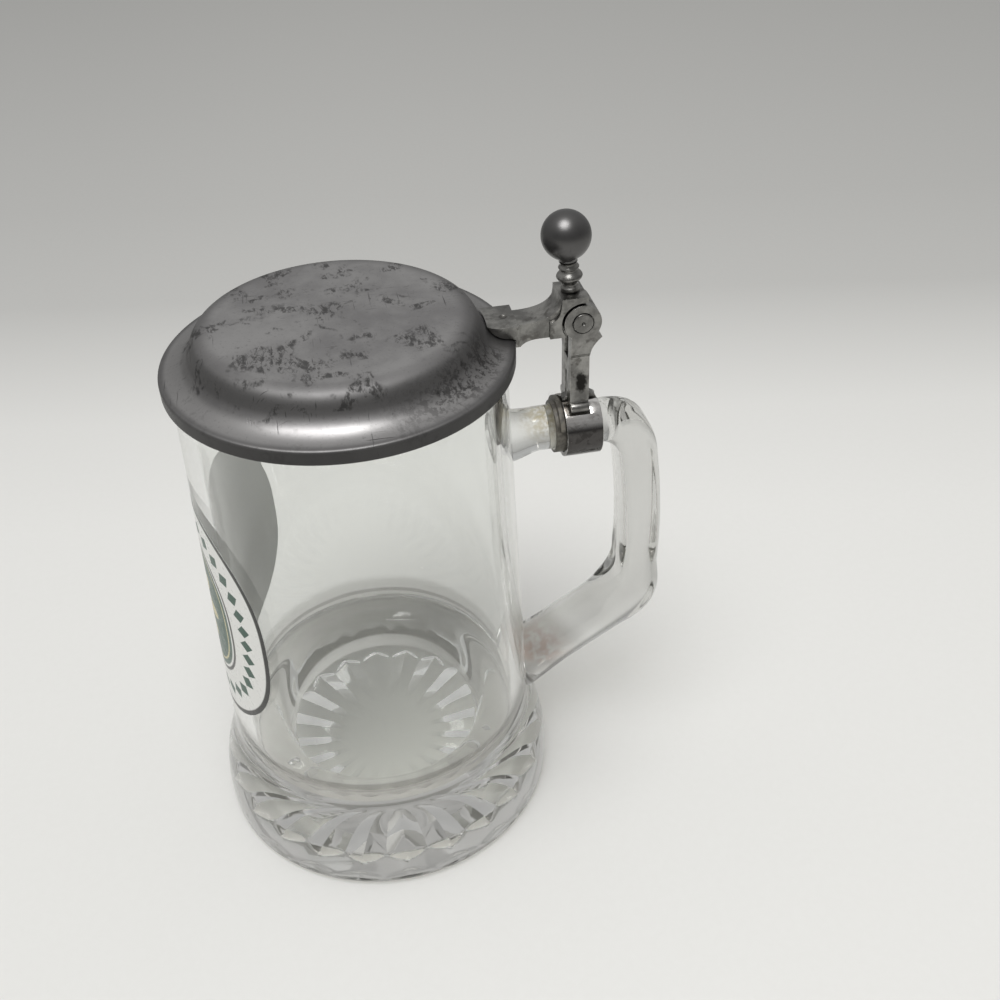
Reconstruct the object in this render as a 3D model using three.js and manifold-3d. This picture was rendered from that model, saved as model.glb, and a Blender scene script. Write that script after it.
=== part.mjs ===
// A lidded glass beer stein: a pressed glass mug with a rayed star under its thick foot, a hollow
// pewter lid, and a cast hinge that a strap clamps to the handle.
// Millimetres, +Z up. The origin is the middle of the underside, the handle lies along +X, and the
// lid turns about an axis along Y.
import * as THREE from "three";
import { mergeVertices } from "three/addons/utils/BufferGeometryUtils.js";
import Module from "manifold-3d";

const wasm = await Module();
wasm.setup();

// Mug body
const mugHeight = 147;
const rimRadius = 41.2;
const rimWall = 3.6;
const waistRadius = 44.6;
const waistHeight = 30;
const waistWall = 4.4;
const footRadius = 50.2;
const footBandHeight = 5;
const footEdgeRound = 2.2;
const waistHollow = 7;
const waistHollowFlare = 0.5;
const floorHeight = 20;
const floorRadius = 28.2;
const bowlRise = 13.5;
const bowlLean = 3;

// Star under the foot
const starRays = 24;
const rayFrom = 15;
const rayTo = 28.5;
const rayWidth = 5.2;
const rayDepth = 1.3;
const fluteFrom = 30;
const fluteTo = 45.5;
const fluteRound = 4.4;
const fluteDepth = 1;

// Handle
const upperArmBelowRim = 30;
const upperArmDiameter = 12;
const rootFlare = 2.4;
const rootFlareLength = 7;
const armBeyondStrap = 0.35;
const upperBendLength = 10;
const gripThickness = 10.8;
const gripWidth = 15;
const gripLean = 3.2;
const gripBow = 0.9;
const lowerCornerHeight = 56;
const lowerCornerFill = 1.8;
const lowerBendLength = 13;
const lowerArmThickness = 16.8;
const lowerArmWidth = 16;
const lowerRootHeight = 33;

// Lid
const lidSheet = 1.2;
const skirtClearance = 1;
const seatGap = 0.3;
const skirtHeight = 3.6;
const brimEdgeRound = 0.7;
const brimWidth = 6.6;
const brimRise = 1.3;
const domeHeight = 7.6;
const domeDraft = 3;
const domeFootRound = 4.4;
const domeShoulderRound = 3.2;
const domeCrown = 0.4;

// Lid arm
const armReach = 16.95;
const pinAboveBrim = 2.15;
const solderGap = 0.3;
const tongueTuck = 1.2;
const tongueWidth = 12;
const tongueNearRound = 5;
const tongueFarRound = 0.8;
const tongueStep = 0.6;
const weldDimpleRadius = 1;
const weldDimpleDepth = 0.35;
const armWidth = 8;
const armTopAbovePin = 1;
const armDepth = 4.5;
const armLipDepth = 1.7;
const armLipLength = 5;
const armHollow = 10;
const blockWidth = 10.2;
const blockLength = 6.65;
const blockRootLength = 3.05;
const blockTopAbovePin = 6.85;
const blockBackBeyondPin = 1.35;

// Hinge
const pinDiameter = 3;
const pinFit = 0.25;
const pinHeadDiameter = 5.2;
const pinHeadHeight = 1;
const pinHeadRecess = 0.9;
const punchMarkRadius = 0.5;
const earRadius = 4.8;
const earThickness = 3.5;
const knuckleWidth = 3.2;
const knuckleSideGap = 0.3;
const earSweepGap = 0.6;
const slotBelowPin = 11.5;
const spurReach = 5.05;
const spurDrop = 4.35;
const spurStartAngle = 38;
const spurRootDrop = 9.05;
const postOffset = 0.4;
const postThickness = 5;
const postWidth = 9;
const forkDrop = 8.65;
const forkChamfer = 1.4;
const pocketWidth = 1.4;
const pocketDepth = 1.2;
const pocketLength = 8;
const pocketAboveFoot = 0.6;

// Thumb lift
const thumbLean = 5;
const stemSpigotRadius = 1.4;
const stemSpigotDepth = 3.2;
const stemFootRadius = 2.4;
const stemNeckRadius = 1.95;
const stemBeadRadius = 3.3;
const stemRingRadius = 2.6;
const stemTopRadius = 2;
const stemHeight = 7.9;
const ballSpigotRadius = 1.2;
const ballSpigotLength = 3.6;
const ballRadius = 6.15;
const ballNeckHeight = 1;
const ballNeckRadius = 2.3;
const ballFlareRadius = 2.9;
const socketFit = 0.25;
const shoulderGap = 0.3;

// Clamp round the handle
const linerClearance = 0.25;
const linerThickness = 0.85;
const linerOverhang = 0.3;
const linerCollarLength = 1;
const linerSlit = 0.8;
const linerShoulderHeight = 1.2;
const linerShoulderLength = 1.3;
const linerShoulderAngle = 70;
const clampGap = 0.25;
const strapThickness = 1.15;
const strapWidth = 9.8;
const strapOffset = 0.9;
const strapEndAngle = 12;
const toeAngle = 31;
const toeRadius = 1.35;
const toeLength = 4.8;
const toeStandOff = 0.9;
const toeGap = 0.35;
const footRibWidth = 2.4;
const footRibLength = 9.3;
const footRibHeight = 1.2;
const footRibRound = 2.2;

// Facets
const roundSides = 64;
const smallSides = 24;
const ringSteps = 14;
const cornerSteps = 3;

// Places worked out from the sizes above
const rimCrownRadius = rimRadius - rimWall / 2;
const upperArmHeight = mugHeight - upperArmBelowRim;
const lidRadius = rimRadius + skirtClearance + lidSheet;
const brimSlope = brimRise / brimWidth;
const brimEdge = mugHeight + seatGap + lidSheet - (lidRadius - rimCrownRadius) * brimSlope;
const domeFootRadius = lidRadius - brimWidth;
const hingeX = lidRadius + armReach;
const hingeZ = brimEdge + pinAboveBrim;
const slotWidth = knuckleWidth + 2 * knuckleSideGap;
const earFace = slotWidth / 2 + earThickness;
const blockTop = hingeZ + blockTopAbovePin;
const blockBack = hingeX + blockBackBeyondPin;
const blockFront = blockBack - blockLength;
const blockRoot = blockFront - blockRootLength;
const armTop = hingeZ + armTopAbovePin;
const armUnder = armTop - armDepth;
const upperArmRadius = upperArmDiameter / 2;
const linerInner = upperArmRadius + linerClearance;
const linerOuter = linerInner + linerThickness;
const strapInner = linerOuter + clampGap;
const strapOuter = strapInner + strapThickness;
const postX = hingeX - postOffset;
const strapMiddle = postX + strapOffset;
const strapFrom = strapMiddle - strapWidth / 2;
const strapTo = strapFrom + strapWidth;
const postFoot = upperArmHeight + strapOuter * Math.cos(radians(strapEndAngle)) + toeGap;

function radians(degrees) {
  return (degrees * Math.PI) / 180;
}

// Radius of the outside of the glass wall, a straight taper from waist to rim
function wallOutside(z) {
  const share = (z - waistHeight) / (mugHeight - waistHeight);
  return waistRadius + (rimRadius - waistRadius) * share;
}

function wallInside(z) {
  const share = (z - waistHeight) / (mugHeight - waistHeight);
  return wallOutside(z) - (waistWall + (rimWall - waistWall) * share);
}

// Closed geometry to a solid that can be cut and joined
function solid(geometry) {
  const bare = geometry.clone();
  bare.deleteAttribute("normal");
  bare.deleteAttribute("uv");
  const merged = mergeVertices(bare, 1e-4);
  const index = merged.index.array;
  const triangles = [];
  for (let i = 0; i < index.length; i += 3) {
    const [a, b, c] = index.slice(i, i + 3);
    if (a !== b && b !== c && c !== a) triangles.push(a, b, c);
  }
  const mesh = new wasm.Mesh({
    numProp: 3,
    vertProperties: merged.attributes.position.array,
    triVerts: new Uint32Array(triangles),
  });
  return new wasm.Manifold(mesh);
}

function geometryOf(body) {
  const mesh = body.getMesh();
  const geometry = new THREE.BufferGeometry();
  geometry.setAttribute("position", new THREE.BufferAttribute(mesh.vertProperties, 3));
  geometry.setIndex(new THREE.BufferAttribute(mesh.triVerts, 1));
  geometry.computeVertexNormals();
  return geometry;
}

// A profile of [radius, height] pairs turned about the Z axis
function turned(profile, sides) {
  const points = profile.map(([radius, height]) => new THREE.Vector2(radius, height));
  return new THREE.LatheGeometry(points, sides).rotateX(Math.PI / 2);
}

function extruded(outline, depth, curveSegments) {
  return new THREE.ExtrudeGeometry(outline, { depth, bevelEnabled: false, curveSegments });
}

// Points on an arc of a turned profile, angles in degrees from the radius direction
function arc(radius, height, size, from, to, steps) {
  return Array.from({ length: steps + 1 }, (_, i) => {
    const turn = radians(from + ((to - from) * i) / steps);
    return [radius + size * Math.cos(turn), height + size * Math.sin(turn)];
  });
}

function pairs(points) {
  return points.map((point) => [point.x, point.y]);
}

// An outline in X and Z pushed along Y
function prismY(outline, from, to, steps = cornerSteps) {
  const geometry = extruded(outline, to - from, steps);
  return solid(geometry.rotateX(Math.PI / 2).translate(0, to, 0));
}

// An outline in Y and Z pushed along X
function prismX(outline, from, to, steps = ringSteps) {
  const geometry = extruded(outline, to - from, steps);
  const axes = new THREE.Matrix4().makeBasis(
    new THREE.Vector3(0, 1, 0),
    new THREE.Vector3(0, 0, 1),
    new THREE.Vector3(1, 0, 0),
  );
  return solid(geometry.applyMatrix4(axes).translate(from, 0, 0));
}

// An outline in X and Y pushed up along Z
function prismZ(outline, from, to) {
  return solid(extruded(outline, to - from, cornerSteps).translate(0, 0, from));
}

function cylinderY(radius, x, z, from, to) {
  const geometry = new THREE.CylinderGeometry(radius, radius, to - from, smallSides);
  return solid(geometry.translate(x, (from + to) / 2, z));
}

function rectangle(left, bottom, right, top) {
  return new THREE.Shape()
    .moveTo(left, bottom)
    .lineTo(right, bottom)
    .lineTo(right, top)
    .lineTo(left, top)
    .closePath();
}

function roundedRectangle(left, bottom, right, top, radius) {
  return new THREE.Shape()
    .moveTo(left + radius, bottom)
    .lineTo(right - radius, bottom)
    .absarc(right - radius, bottom + radius, radius, -Math.PI / 2, 0, false)
    .lineTo(right, top - radius)
    .absarc(right - radius, top - radius, radius, 0, Math.PI / 2, false)
    .lineTo(left + radius, top)
    .absarc(left + radius, top - radius, radius, Math.PI / 2, Math.PI, false)
    .lineTo(left, bottom + radius)
    .absarc(left + radius, bottom + radius, radius, Math.PI, 1.5 * Math.PI, false)
    .closePath();
}

// A piece of a ring round the handle's upper arm, in Y and Z, between two angles from the top
function ringSector(inner, outer, fromDegrees, toDegrees) {
  const start = Math.PI / 2 - radians(fromDegrees);
  const end = Math.PI / 2 - radians(toDegrees);
  return new THREE.Shape()
    .absarc(0, upperArmHeight, outer, start, end, true)
    .absarc(0, upperArmHeight, inner, end, start, false)
    .closePath();
}

// Rings of equal length joined into one closed skin
function loft(rings) {
  const sides = rings[0].length;
  const last = rings.length - 1;
  const vertices = rings.flat();
  const index = [];
  for (let i = 0; i < last; i++) {
    for (let j = 0; j < sides; j++) {
      const next = (j + 1) % sides;
      const a = i * sides + j;
      const b = i * sides + next;
      const c = (i + 1) * sides + next;
      const d = (i + 1) * sides + j;
      index.push(a, b, c, a, c, d);
    }
  }
  for (let j = 1; j < sides - 1; j++) {
    index.push(0, j + 1, j);
    index.push(last * sides, last * sides + j, last * sides + j + 1);
  }
  const geometry = new THREE.BufferGeometry().setFromPoints(vertices);
  geometry.setIndex(index);
  return solid(geometry);
}

// Outside of the mug: rounded foot, ogee flare, tapered wall and outer half of the rim
function mugOutside() {
  const flareMiddle = (footBandHeight + waistHeight) / 2;
  const flare = new THREE.CubicBezierCurve(
    new THREE.Vector2(footRadius, footBandHeight),
    new THREE.Vector2(footRadius, flareMiddle),
    new THREE.Vector2(waistRadius + waistHollowFlare, waistHeight - waistHollow),
    new THREE.Vector2(waistRadius, waistHeight),
  );
  const rimRound = rimWall / 2;
  const profile = [
    [0, 0],
    ...arc(footRadius - footEdgeRound, footEdgeRound, footEdgeRound, -90, 0, 3),
    ...pairs(flare.getPoints(7)),
    ...arc(rimCrownRadius, mugHeight - rimRound, rimRound, 0, 90, 3),
    [0, mugHeight],
  ];
  return solid(turned(profile, roundSides));
}

// Inside of the mug, open above the rim: floor in a narrow well, tapered wall, inner half of the rim
function mugInside() {
  const rimRound = rimWall / 2;
  const bowlTop = floorHeight + bowlRise;
  const bowlWall = wallInside(bowlTop);
  const bowl = new THREE.CubicBezierCurve(
    new THREE.Vector2(floorRadius, floorHeight),
    new THREE.Vector2(floorRadius + bowlLean, bowlTop),
    new THREE.Vector2(bowlWall, floorHeight + bowlRise / 2),
    new THREE.Vector2(bowlWall, bowlTop),
  );
  const clearAbove = mugHeight + rimWall;
  const profile = [
    [0, floorHeight],
    ...pairs(bowl.getPoints(7)),
    ...arc(rimCrownRadius, mugHeight - rimRound, rimRound, 180, 90, 3),
    [rimCrownRadius, clearAbove],
    [0, clearAbove],
  ];
  return solid(turned(profile, roundSides));
}

// One ray of the star: a groove with two flat sides, pointed at the middle
function starRay(angle) {
  const half = rayWidth / 2;
  const length = rayTo - rayFrom;
  const profile = [[0, 0], ...arc(0, length - half, half, 0, 90, 3)];
  const ray = turned(profile, 4)
    .rotateY(Math.PI / 2)
    .scale(1, 1, rayDepth / half)
    .translate(rayFrom, 0, 0)
    .rotateZ(angle);
  return solid(ray);
}

// One flute beyond a ray: a shallow hollow with round ends
function flute(angle) {
  const half = Math.sqrt(2 * fluteRound * fluteDepth - fluteDepth ** 2);
  const length = fluteTo - fluteFrom - 2 * half;
  const profile = [
    ...arc(0, 0, fluteRound, -90, 0, 4),
    ...arc(0, length, fluteRound, 0, 90, 4),
  ];
  const hollow = turned(profile, 16)
    .rotateY(Math.PI / 2)
    .translate(fluteFrom + half, 0, fluteDepth - fluteRound)
    .rotateZ(angle);
  return solid(hollow);
}

// Handle: a round upper arm, a squarer grip and a thick lower arm, lofted along one line
function handle() {
  const upperRoot = wallOutside(upperArmHeight);
  const lowerRoot = wallOutside(lowerRootHeight);
  const bendStart = strapTo + linerOverhang + armBeyondStrap;
  const upperCorner = new THREE.Vector2(bendStart + upperBendLength, upperArmHeight);
  const lowerCorner = new THREE.Vector2(upperCorner.x + gripLean, lowerCornerHeight);
  const lowerFace = new THREE.Vector2(lowerRoot, lowerRootHeight);
  const gripWay = lowerCorner.clone().sub(upperCorner).normalize();
  const lowerWay = lowerFace.clone().sub(lowerCorner).normalize();
  const lowerEnd = lowerFace.clone().addScaledVector(lowerWay, lowerArmThickness / 2);
  const gripTop = upperCorner.clone().addScaledVector(gripWay, upperBendLength);
  const gripBottom = lowerCorner.clone().addScaledVector(gripWay, -lowerBendLength);
  const gripMiddle = gripTop.clone().lerp(gripBottom, 0.5).add(new THREE.Vector2(2 * gripBow, 0));
  const lowerArmTop = lowerCorner.clone().addScaledVector(lowerWay, lowerBendLength);
  const lowerFlareStart = lowerFace.clone().addScaledVector(lowerWay, -2 * rootFlareLength);
  const line = new THREE.Path()
    .moveTo(upperRoot - rimWall / 2, upperArmHeight - rootFlare / 2)
    .lineTo(upperRoot + rootFlareLength, upperArmHeight)
    .lineTo(bendStart, upperArmHeight)
    .quadraticCurveTo(upperCorner.x, upperCorner.y, gripTop.x, gripTop.y)
    .quadraticCurveTo(gripMiddle.x, gripMiddle.y, gripBottom.x, gripBottom.y)
    .quadraticCurveTo(lowerCorner.x, lowerCorner.y, lowerArmTop.x, lowerArmTop.y)
    .lineTo(lowerFlareStart.x, lowerFlareStart.y)
    .lineTo(lowerEnd.x, lowerEnd.y);
  const round = 2;
  const squarish = 3.8;
  const upperArm = { thick: upperArmDiameter, wide: upperArmDiameter, power: round };
  const upperJoint = {
    thick: upperArmDiameter + rootFlare,
    wide: upperArmDiameter + rootFlare,
    power: round,
  };
  const grip = { thick: gripThickness, wide: gripWidth, power: squarish };
  const lowerArm = { thick: lowerArmThickness, wide: lowerArmWidth, power: round };
  const lowerJoint = {
    thick: lowerArmThickness + rootFlare,
    wide: lowerArmWidth + rootFlare,
    power: round,
  };
  const stops = [upperJoint, upperArm, upperArm, grip, grip, lowerArm, lowerArm, lowerJoint];
  const rings = [];
  const lowerBend = 4;
  line.curves.forEach((curve, i) => {
    const flared = i === 0 || i === stops.length - 2;
    const fill = i === lowerBend ? lowerCornerFill : 0;
    const lineSteps = flared ? 4 : 1;
    const steps = curve.isLineCurve ? lineSteps : 6;
    const first = i === 0 ? 0 : 1;
    for (let k = first; k <= steps; k++) {
      rings.push(handleRing(curve, k / steps, stops[i], stops[i + 1], fill));
    }
  });
  return loft(rings);
}

// One cross-section of the handle, a superellipse square to its line, filled out on its outer side
function handleRing(curve, share, from, to, fill) {
  const sides = 16;
  const ease = THREE.MathUtils.smoothstep(share, 0, 1);
  const half = THREE.MathUtils.lerp(from.thick, to.thick, ease) / 2;
  const halfWide = THREE.MathUtils.lerp(from.wide, to.wide, ease) / 2;
  const power = 2 / THREE.MathUtils.lerp(from.power, to.power, ease);
  const outer = fill * 4 * share * (1 - share);
  const centre = curve.getPoint(share);
  const way = curve.getTangent(share);
  const ring = [];
  for (let j = 0; j < sides; j++) {
    const turn = (2 * Math.PI * j) / sides;
    const across = halfWide * Math.sign(Math.cos(turn)) * Math.abs(Math.cos(turn)) ** power;
    const out = half * Math.sign(Math.sin(turn)) * Math.abs(Math.sin(turn)) ** power;
    const filled = out + outer * Math.max(Math.sin(turn), 0);
    ring.push(new THREE.Vector3(centre.x - way.y * filled, across, centre.y + way.x * filled));
  }
  return ring;
}

function glassMug() {
  let mug = mugOutside().add(handle()).subtract(mugInside());
  for (let i = 0; i < starRays; i++) {
    const angle = (2 * Math.PI * i) / starRays;
    mug = mug.subtract(starRay(angle)).subtract(flute(angle));
  }
  return mug;
}

// Lid surface from the skirt's lower edge to the middle of the dome, moved in by an inset
function lidOutline(inset) {
  const skirtBottom = brimEdge - skirtHeight;
  const radius = lidRadius - inset;
  const edge = brimEdge - inset;
  const footX = domeFootRadius - inset;
  const footZ = edge + brimSlope * (radius - footX);
  const shoulderX = footX - domeDraft;
  const shoulderZ = footZ + domeHeight;
  const wallLength = Math.hypot(domeDraft, domeHeight);
  const wallX = -domeDraft / wallLength;
  const wallZ = domeHeight / wallLength;
  const outline = new THREE.Path()
    .moveTo(radius, skirtBottom)
    .lineTo(radius, edge - brimEdgeRound)
    .quadraticCurveTo(radius, edge, radius - brimEdgeRound, edge + brimSlope * brimEdgeRound)
    .lineTo(footX + domeFootRound, footZ - brimSlope * domeFootRound)
    .quadraticCurveTo(footX, footZ, footX + wallX * domeFootRound, footZ + wallZ * domeFootRound)
    .lineTo(shoulderX - wallX * domeShoulderRound, shoulderZ - wallZ * domeShoulderRound)
    .quadraticCurveTo(shoulderX, shoulderZ, shoulderX - domeShoulderRound, shoulderZ + domeCrown / 2)
    .lineTo(0, shoulderZ + domeCrown);
  return pairs(outline.getPoints(cornerSteps));
}

function lidShell() {
  const profile = [...lidOutline(lidSheet).reverse(), ...lidOutline(0)];
  return solid(turned(profile, roundSides));
}

// Everything below the lid's outer surface, with the solder gap, for trimming the arm to the lid
function lidFilled() {
  const outline = lidOutline(-solderGap);
  const profile = [[0, 0], [outline[0][0], 0], ...outline];
  return solid(turned(profile, roundSides));
}

// Arm of the lid: tongue on the brim, arm, block with hollows for the ears, knuckle between them
function lidArm() {
  const tongueFrom = domeFootRadius - tongueTuck;
  const tongueTo = lidRadius + tongueStep;
  const side = tongueWidth / 2;
  const tonguePlan = new THREE.Shape()
    .moveTo(tongueTo, -side)
    .lineTo(tongueTo, side)
    .lineTo(tongueFrom + tongueFarRound, side)
    .quadraticCurveTo(tongueFrom, side, tongueFrom, side - tongueFarRound)
    .lineTo(tongueFrom, tongueNearRound - side)
    .quadraticCurveTo(tongueFrom, -side, tongueFrom + tongueNearRound, -side)
    .closePath();
  const tongueTop = armTop + tongueStep;
  const tongue = prismZ(tonguePlan, brimEdge - lidSheet, tongueTop);
  const lipX = lidRadius + armLipLength / 4;
  const lip = armUnder - armLipDepth;
  const armSide = new THREE.Shape()
    .moveTo(domeFootRadius, lip)
    .lineTo(lipX, lip)
    .quadraticCurveTo(lipX + armLipLength / 4, armUnder, lipX + armLipLength, armUnder)
    .lineTo(blockFront, armUnder)
    .lineTo(blockFront, blockTop)
    .quadraticCurveTo(blockFront, armTop, blockFront - armHollow, armTop)
    .lineTo(domeFootRadius, armTop)
    .closePath();
  const arm = prismY(armSide, -armWidth / 2, armWidth / 2, 6);
  const blockSide = new THREE.Shape()
    .moveTo(blockRoot, armUnder)
    .lineTo(hingeX - 0.75 * earRadius, armUnder)
    .lineTo(hingeX, hingeZ)
    .lineTo(blockBack, hingeZ + earRadius / 2)
    .lineTo(blockBack, blockTop)
    .lineTo(blockFront, blockTop)
    .quadraticCurveTo(blockFront, armTop, blockRoot, armTop)
    .closePath();
  const half = knuckleWidth / 2;
  const sweep = earRadius + earSweepGap;
  const block = prismY(blockSide, -blockWidth / 2, blockWidth / 2, 6)
    .subtract(cylinderY(sweep, hingeX, hingeZ, half, blockWidth))
    .subtract(cylinderY(sweep, hingeX, hingeZ, -blockWidth, -half))
    .add(prismY(blockSide, -half, half, 6))
    .add(cylinderY(earRadius, hingeX, hingeZ, -half, half));
  const bore = cylinderY(pinDiameter / 2 + pinFit, hingeX, hingeZ, -blockWidth, blockWidth);
  const socket = new THREE.CylinderGeometry(
    stemSpigotRadius + socketFit,
    stemSpigotRadius + socketFit,
    2 * (stemSpigotDepth + shoulderGap),
    smallSides,
  );
  socket.rotateX(Math.PI / 2).rotateY(-radians(thumbLean));
  socket.translate(thumbX(), 0, blockTop);
  const dimple = new THREE.CylinderGeometry(
    weldDimpleRadius,
    weldDimpleRadius,
    2 * weldDimpleDepth,
    smallSides / 2,
  );
  dimple.rotateX(Math.PI / 2).translate(lidRadius - brimWidth / 3, 0, tongueTop);
  return tongue
    .add(arm)
    .subtract(lidFilled())
    .add(block)
    .subtract(bore)
    .subtract(solid(socket))
    .subtract(solid(dimple));
}

// Where the stem stands on the block
function thumbX() {
  return (blockFront + blockBack) / 2;
}

// Stem in its own frame, with the top of the block at height 0
function thumbStem() {
  const turnedCurve = new THREE.SplineCurve([
    new THREE.Vector2(stemFootRadius, shoulderGap + 0.1 * stemHeight),
    new THREE.Vector2(stemNeckRadius, 0.27 * stemHeight),
    new THREE.Vector2(stemBeadRadius, 0.5 * stemHeight),
    new THREE.Vector2(stemRingRadius - 0.4, 0.71 * stemHeight),
    new THREE.Vector2(stemRingRadius, 0.81 * stemHeight),
    new THREE.Vector2(stemTopRadius, 0.92 * stemHeight),
    new THREE.Vector2(ballNeckRadius, stemHeight),
  ]);
  const profile = [
    [0, -stemSpigotDepth],
    [stemSpigotRadius, -stemSpigotDepth],
    [stemSpigotRadius, shoulderGap],
    [stemFootRadius, shoulderGap],
    ...pairs(turnedCurve.getPoints(18)),
    [ballSpigotRadius, stemHeight],
    [ballSpigotRadius, stemHeight + ballSpigotLength],
    [0, stemHeight + ballSpigotLength],
  ];
  return turned(profile, smallSides);
}

// Ball in the stem's frame: a short neck, the sphere, and the blind bore for the stem
function thumbBall() {
  const bottom = stemHeight + shoulderGap;
  const boreRadius = ballSpigotRadius + socketFit;
  const boreTop = stemHeight + ballSpigotLength + shoulderGap;
  const start = Math.asin(ballFlareRadius / ballRadius);
  const centre = bottom + ballNeckHeight + ballRadius * Math.cos(start);
  const profile = [
    [0, boreTop],
    [boreRadius, boreTop],
    [boreRadius, bottom],
    [ballNeckRadius, bottom],
    ...arc(0, centre, ballRadius, THREE.MathUtils.radToDeg(start) - 90, 90, 12),
  ];
  return turned(profile, smallSides);
}

// Post: ears with a fork slot, stop spur, chamfered neck, foot rib and the two toes
function hingePost() {
  const half = postThickness / 2;
  const earStart = Math.PI + Math.acos((half + postOffset) / earRadius);
  const side = new THREE.Shape()
    .moveTo(postX - half, postFoot)
    .lineTo(postX - half, hingeZ + earRadius * Math.sin(earStart))
    .absarc(hingeX, hingeZ, earRadius, earStart, -radians(spurStartAngle), true)
    .lineTo(hingeX + spurReach, hingeZ - spurDrop)
    .quadraticCurveTo(
      postX + half,
      hingeZ - spurDrop - spurReach / 2,
      postX + half,
      hingeZ - spurRootDrop,
    )
    .lineTo(postX + half, postFoot)
    .closePath();
  const neck = hingeZ - forkDrop;
  const front = new THREE.Shape()
    .moveTo(-postWidth / 2, postFoot)
    .lineTo(postWidth / 2, postFoot)
    .lineTo(postWidth / 2, neck - forkChamfer)
    .lineTo(earFace, neck)
    .lineTo(earFace, hingeZ + 2 * earRadius)
    .lineTo(-earFace, hingeZ + 2 * earRadius)
    .lineTo(-earFace, neck)
    .lineTo(-postWidth / 2, neck - forkChamfer)
    .closePath();
  const wide = earRadius + spurReach;
  const slot = rectangle(-slotWidth / 2, hingeZ - slotBelowPin, slotWidth / 2, hingeZ + 2 * earRadius);
  const pocketBottom = postFoot + pocketAboveFoot;
  const pocket = rectangle(
    postX - postThickness,
    pocketBottom,
    postX - half + pocketDepth,
    pocketBottom + pocketLength,
  );
  let post = prismY(side, -earFace, earFace, smallSides / 2)
    .intersect(prismX(front, hingeX - wide, hingeX + wide))
    .subtract(prismX(slot, hingeX - wide, hingeX + wide))
    .subtract(prismY(pocket, -pocketWidth / 2, pocketWidth / 2))
    .add(footRib());
  for (const side of [-1, 1]) {
    const head = cylinderY(
      pinHeadDiameter / 2 + pinFit,
      hingeX,
      hingeZ,
      side < 0 ? -2 * earFace : earFace - pinHeadRecess,
      side < 0 ? -earFace + pinHeadRecess : 2 * earFace,
    );
    post = post.subtract(head).add(toe(side));
  }
  return post.subtract(cylinderY(pinDiameter / 2 + pinFit, hingeX, hingeZ, -earFace, earFace));
}

// Rib along the handle that carries the post on the liner
function footRib() {
  const top = postFoot + footRibHeight;
  const length = footRibLength / 2;
  const below = upperArmHeight;
  const side = roundedRectangle(strapMiddle - length, below, strapMiddle + length, top, footRibRound);
  const linerRound = new THREE.Shape().absarc(0, upperArmHeight, strapInner, 0, 2 * Math.PI, false);
  return prismY(side, -footRibWidth / 2, footRibWidth / 2).subtract(
    prismX(linerRound, strapMiddle - footRibLength, strapMiddle + footRibLength),
  );
}

// Toe: a short roll under the post that lies in the strap's window
function toe(side) {
  const reach = strapOuter + toeStandOff;
  const geometry = new THREE.CylinderGeometry(toeRadius, toeRadius, toeLength, smallSides);
  geometry.rotateZ(Math.PI / 2);
  geometry.translate(
    postX,
    side * reach * Math.sin(radians(toeAngle)),
    upperArmHeight + reach * Math.cos(radians(toeAngle)),
  );
  return solid(geometry);
}

// Pin with a formed head at each end and a punch mark in each head
function hingePin() {
  const seat = earFace - pinHeadRecess + pinFit;
  const end = seat + pinHeadHeight;
  const radius = pinDiameter / 2;
  const headRadius = pinHeadDiameter / 2;
  const profile = [
    [0, -end + punchMarkRadius],
    [punchMarkRadius, -end],
    [headRadius, -end],
    [headRadius, -seat],
    [radius, -seat],
    [radius, seat],
    [headRadius, seat],
    [headRadius, end],
    [punchMarkRadius, end],
    [0, end - punchMarkRadius],
  ];
  return turned(profile, smallSides).rotateX(Math.PI / 2).translate(hingeX, 0, hingeZ);
}

// Strap bent round the liner, open at the top, with a window for each toe
function clampStrap() {
  const windowHalf = toeLength / 2 + toeGap;
  const sunk = toeRadius ** 2 - toeStandOff ** 2;
  const reach = (Math.sqrt(sunk) + 2 * toeGap) / strapOuter;
  const opening = THREE.MathUtils.radToDeg(reach);
  const ring = ringSector(strapInner, strapOuter, strapEndAngle, 360 - strapEndAngle);
  let strap = prismX(ring, strapFrom, strapTo);
  for (const angle of [toeAngle, -toeAngle]) {
    const window = ringSector(linerInner, strapOuter + toeRadius, angle - opening, angle + opening);
    strap = strap.subtract(prismX(window, postX - windowHalf, postX + windowHalf));
  }
  return strap;
}

// Liner: a split sleeve on the glass, with a collar and a shoulder on the side of the body
function clampLiner() {
  const slit = THREE.MathUtils.radToDeg(linerSlit / linerInner / 2);
  const sleeve = ringSector(linerInner, linerOuter, slit - 180, 180 - slit);
  const shoulder = ringSector(
    linerInner,
    linerOuter + linerShoulderHeight,
    -linerShoulderAngle,
    linerShoulderAngle,
  );
  const shoulderTo = strapFrom - clampGap;
  const shoulderFrom = shoulderTo - linerShoulderLength;
  return prismX(sleeve, shoulderFrom - linerCollarLength, strapTo + linerOverhang).add(
    prismX(shoulder, shoulderFrom, shoulderTo),
  );
}

const glass = new THREE.MeshStandardMaterial({ color: 0xdfe4e2, roughness: 0.05, metalness: 0 });
const pewter = new THREE.MeshStandardMaterial({ color: 0x74727a, roughness: 0.5, metalness: 0.9 });
const castMetal = new THREE.MeshStandardMaterial({ color: 0x9a9994, roughness: 0.35, metalness: 1 });
const strapMetal = new THREE.MeshStandardMaterial({ color: 0xa39f9c, roughness: 0.2, metalness: 1 });
const linerRubber = new THREE.MeshStandardMaterial({ color: 0x8d877b, roughness: 0.6, metalness: 0 });

function named(name, geometry, material) {
  const mesh = new THREE.Mesh(geometry, material);
  mesh.name = name;
  return mesh;
}

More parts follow.
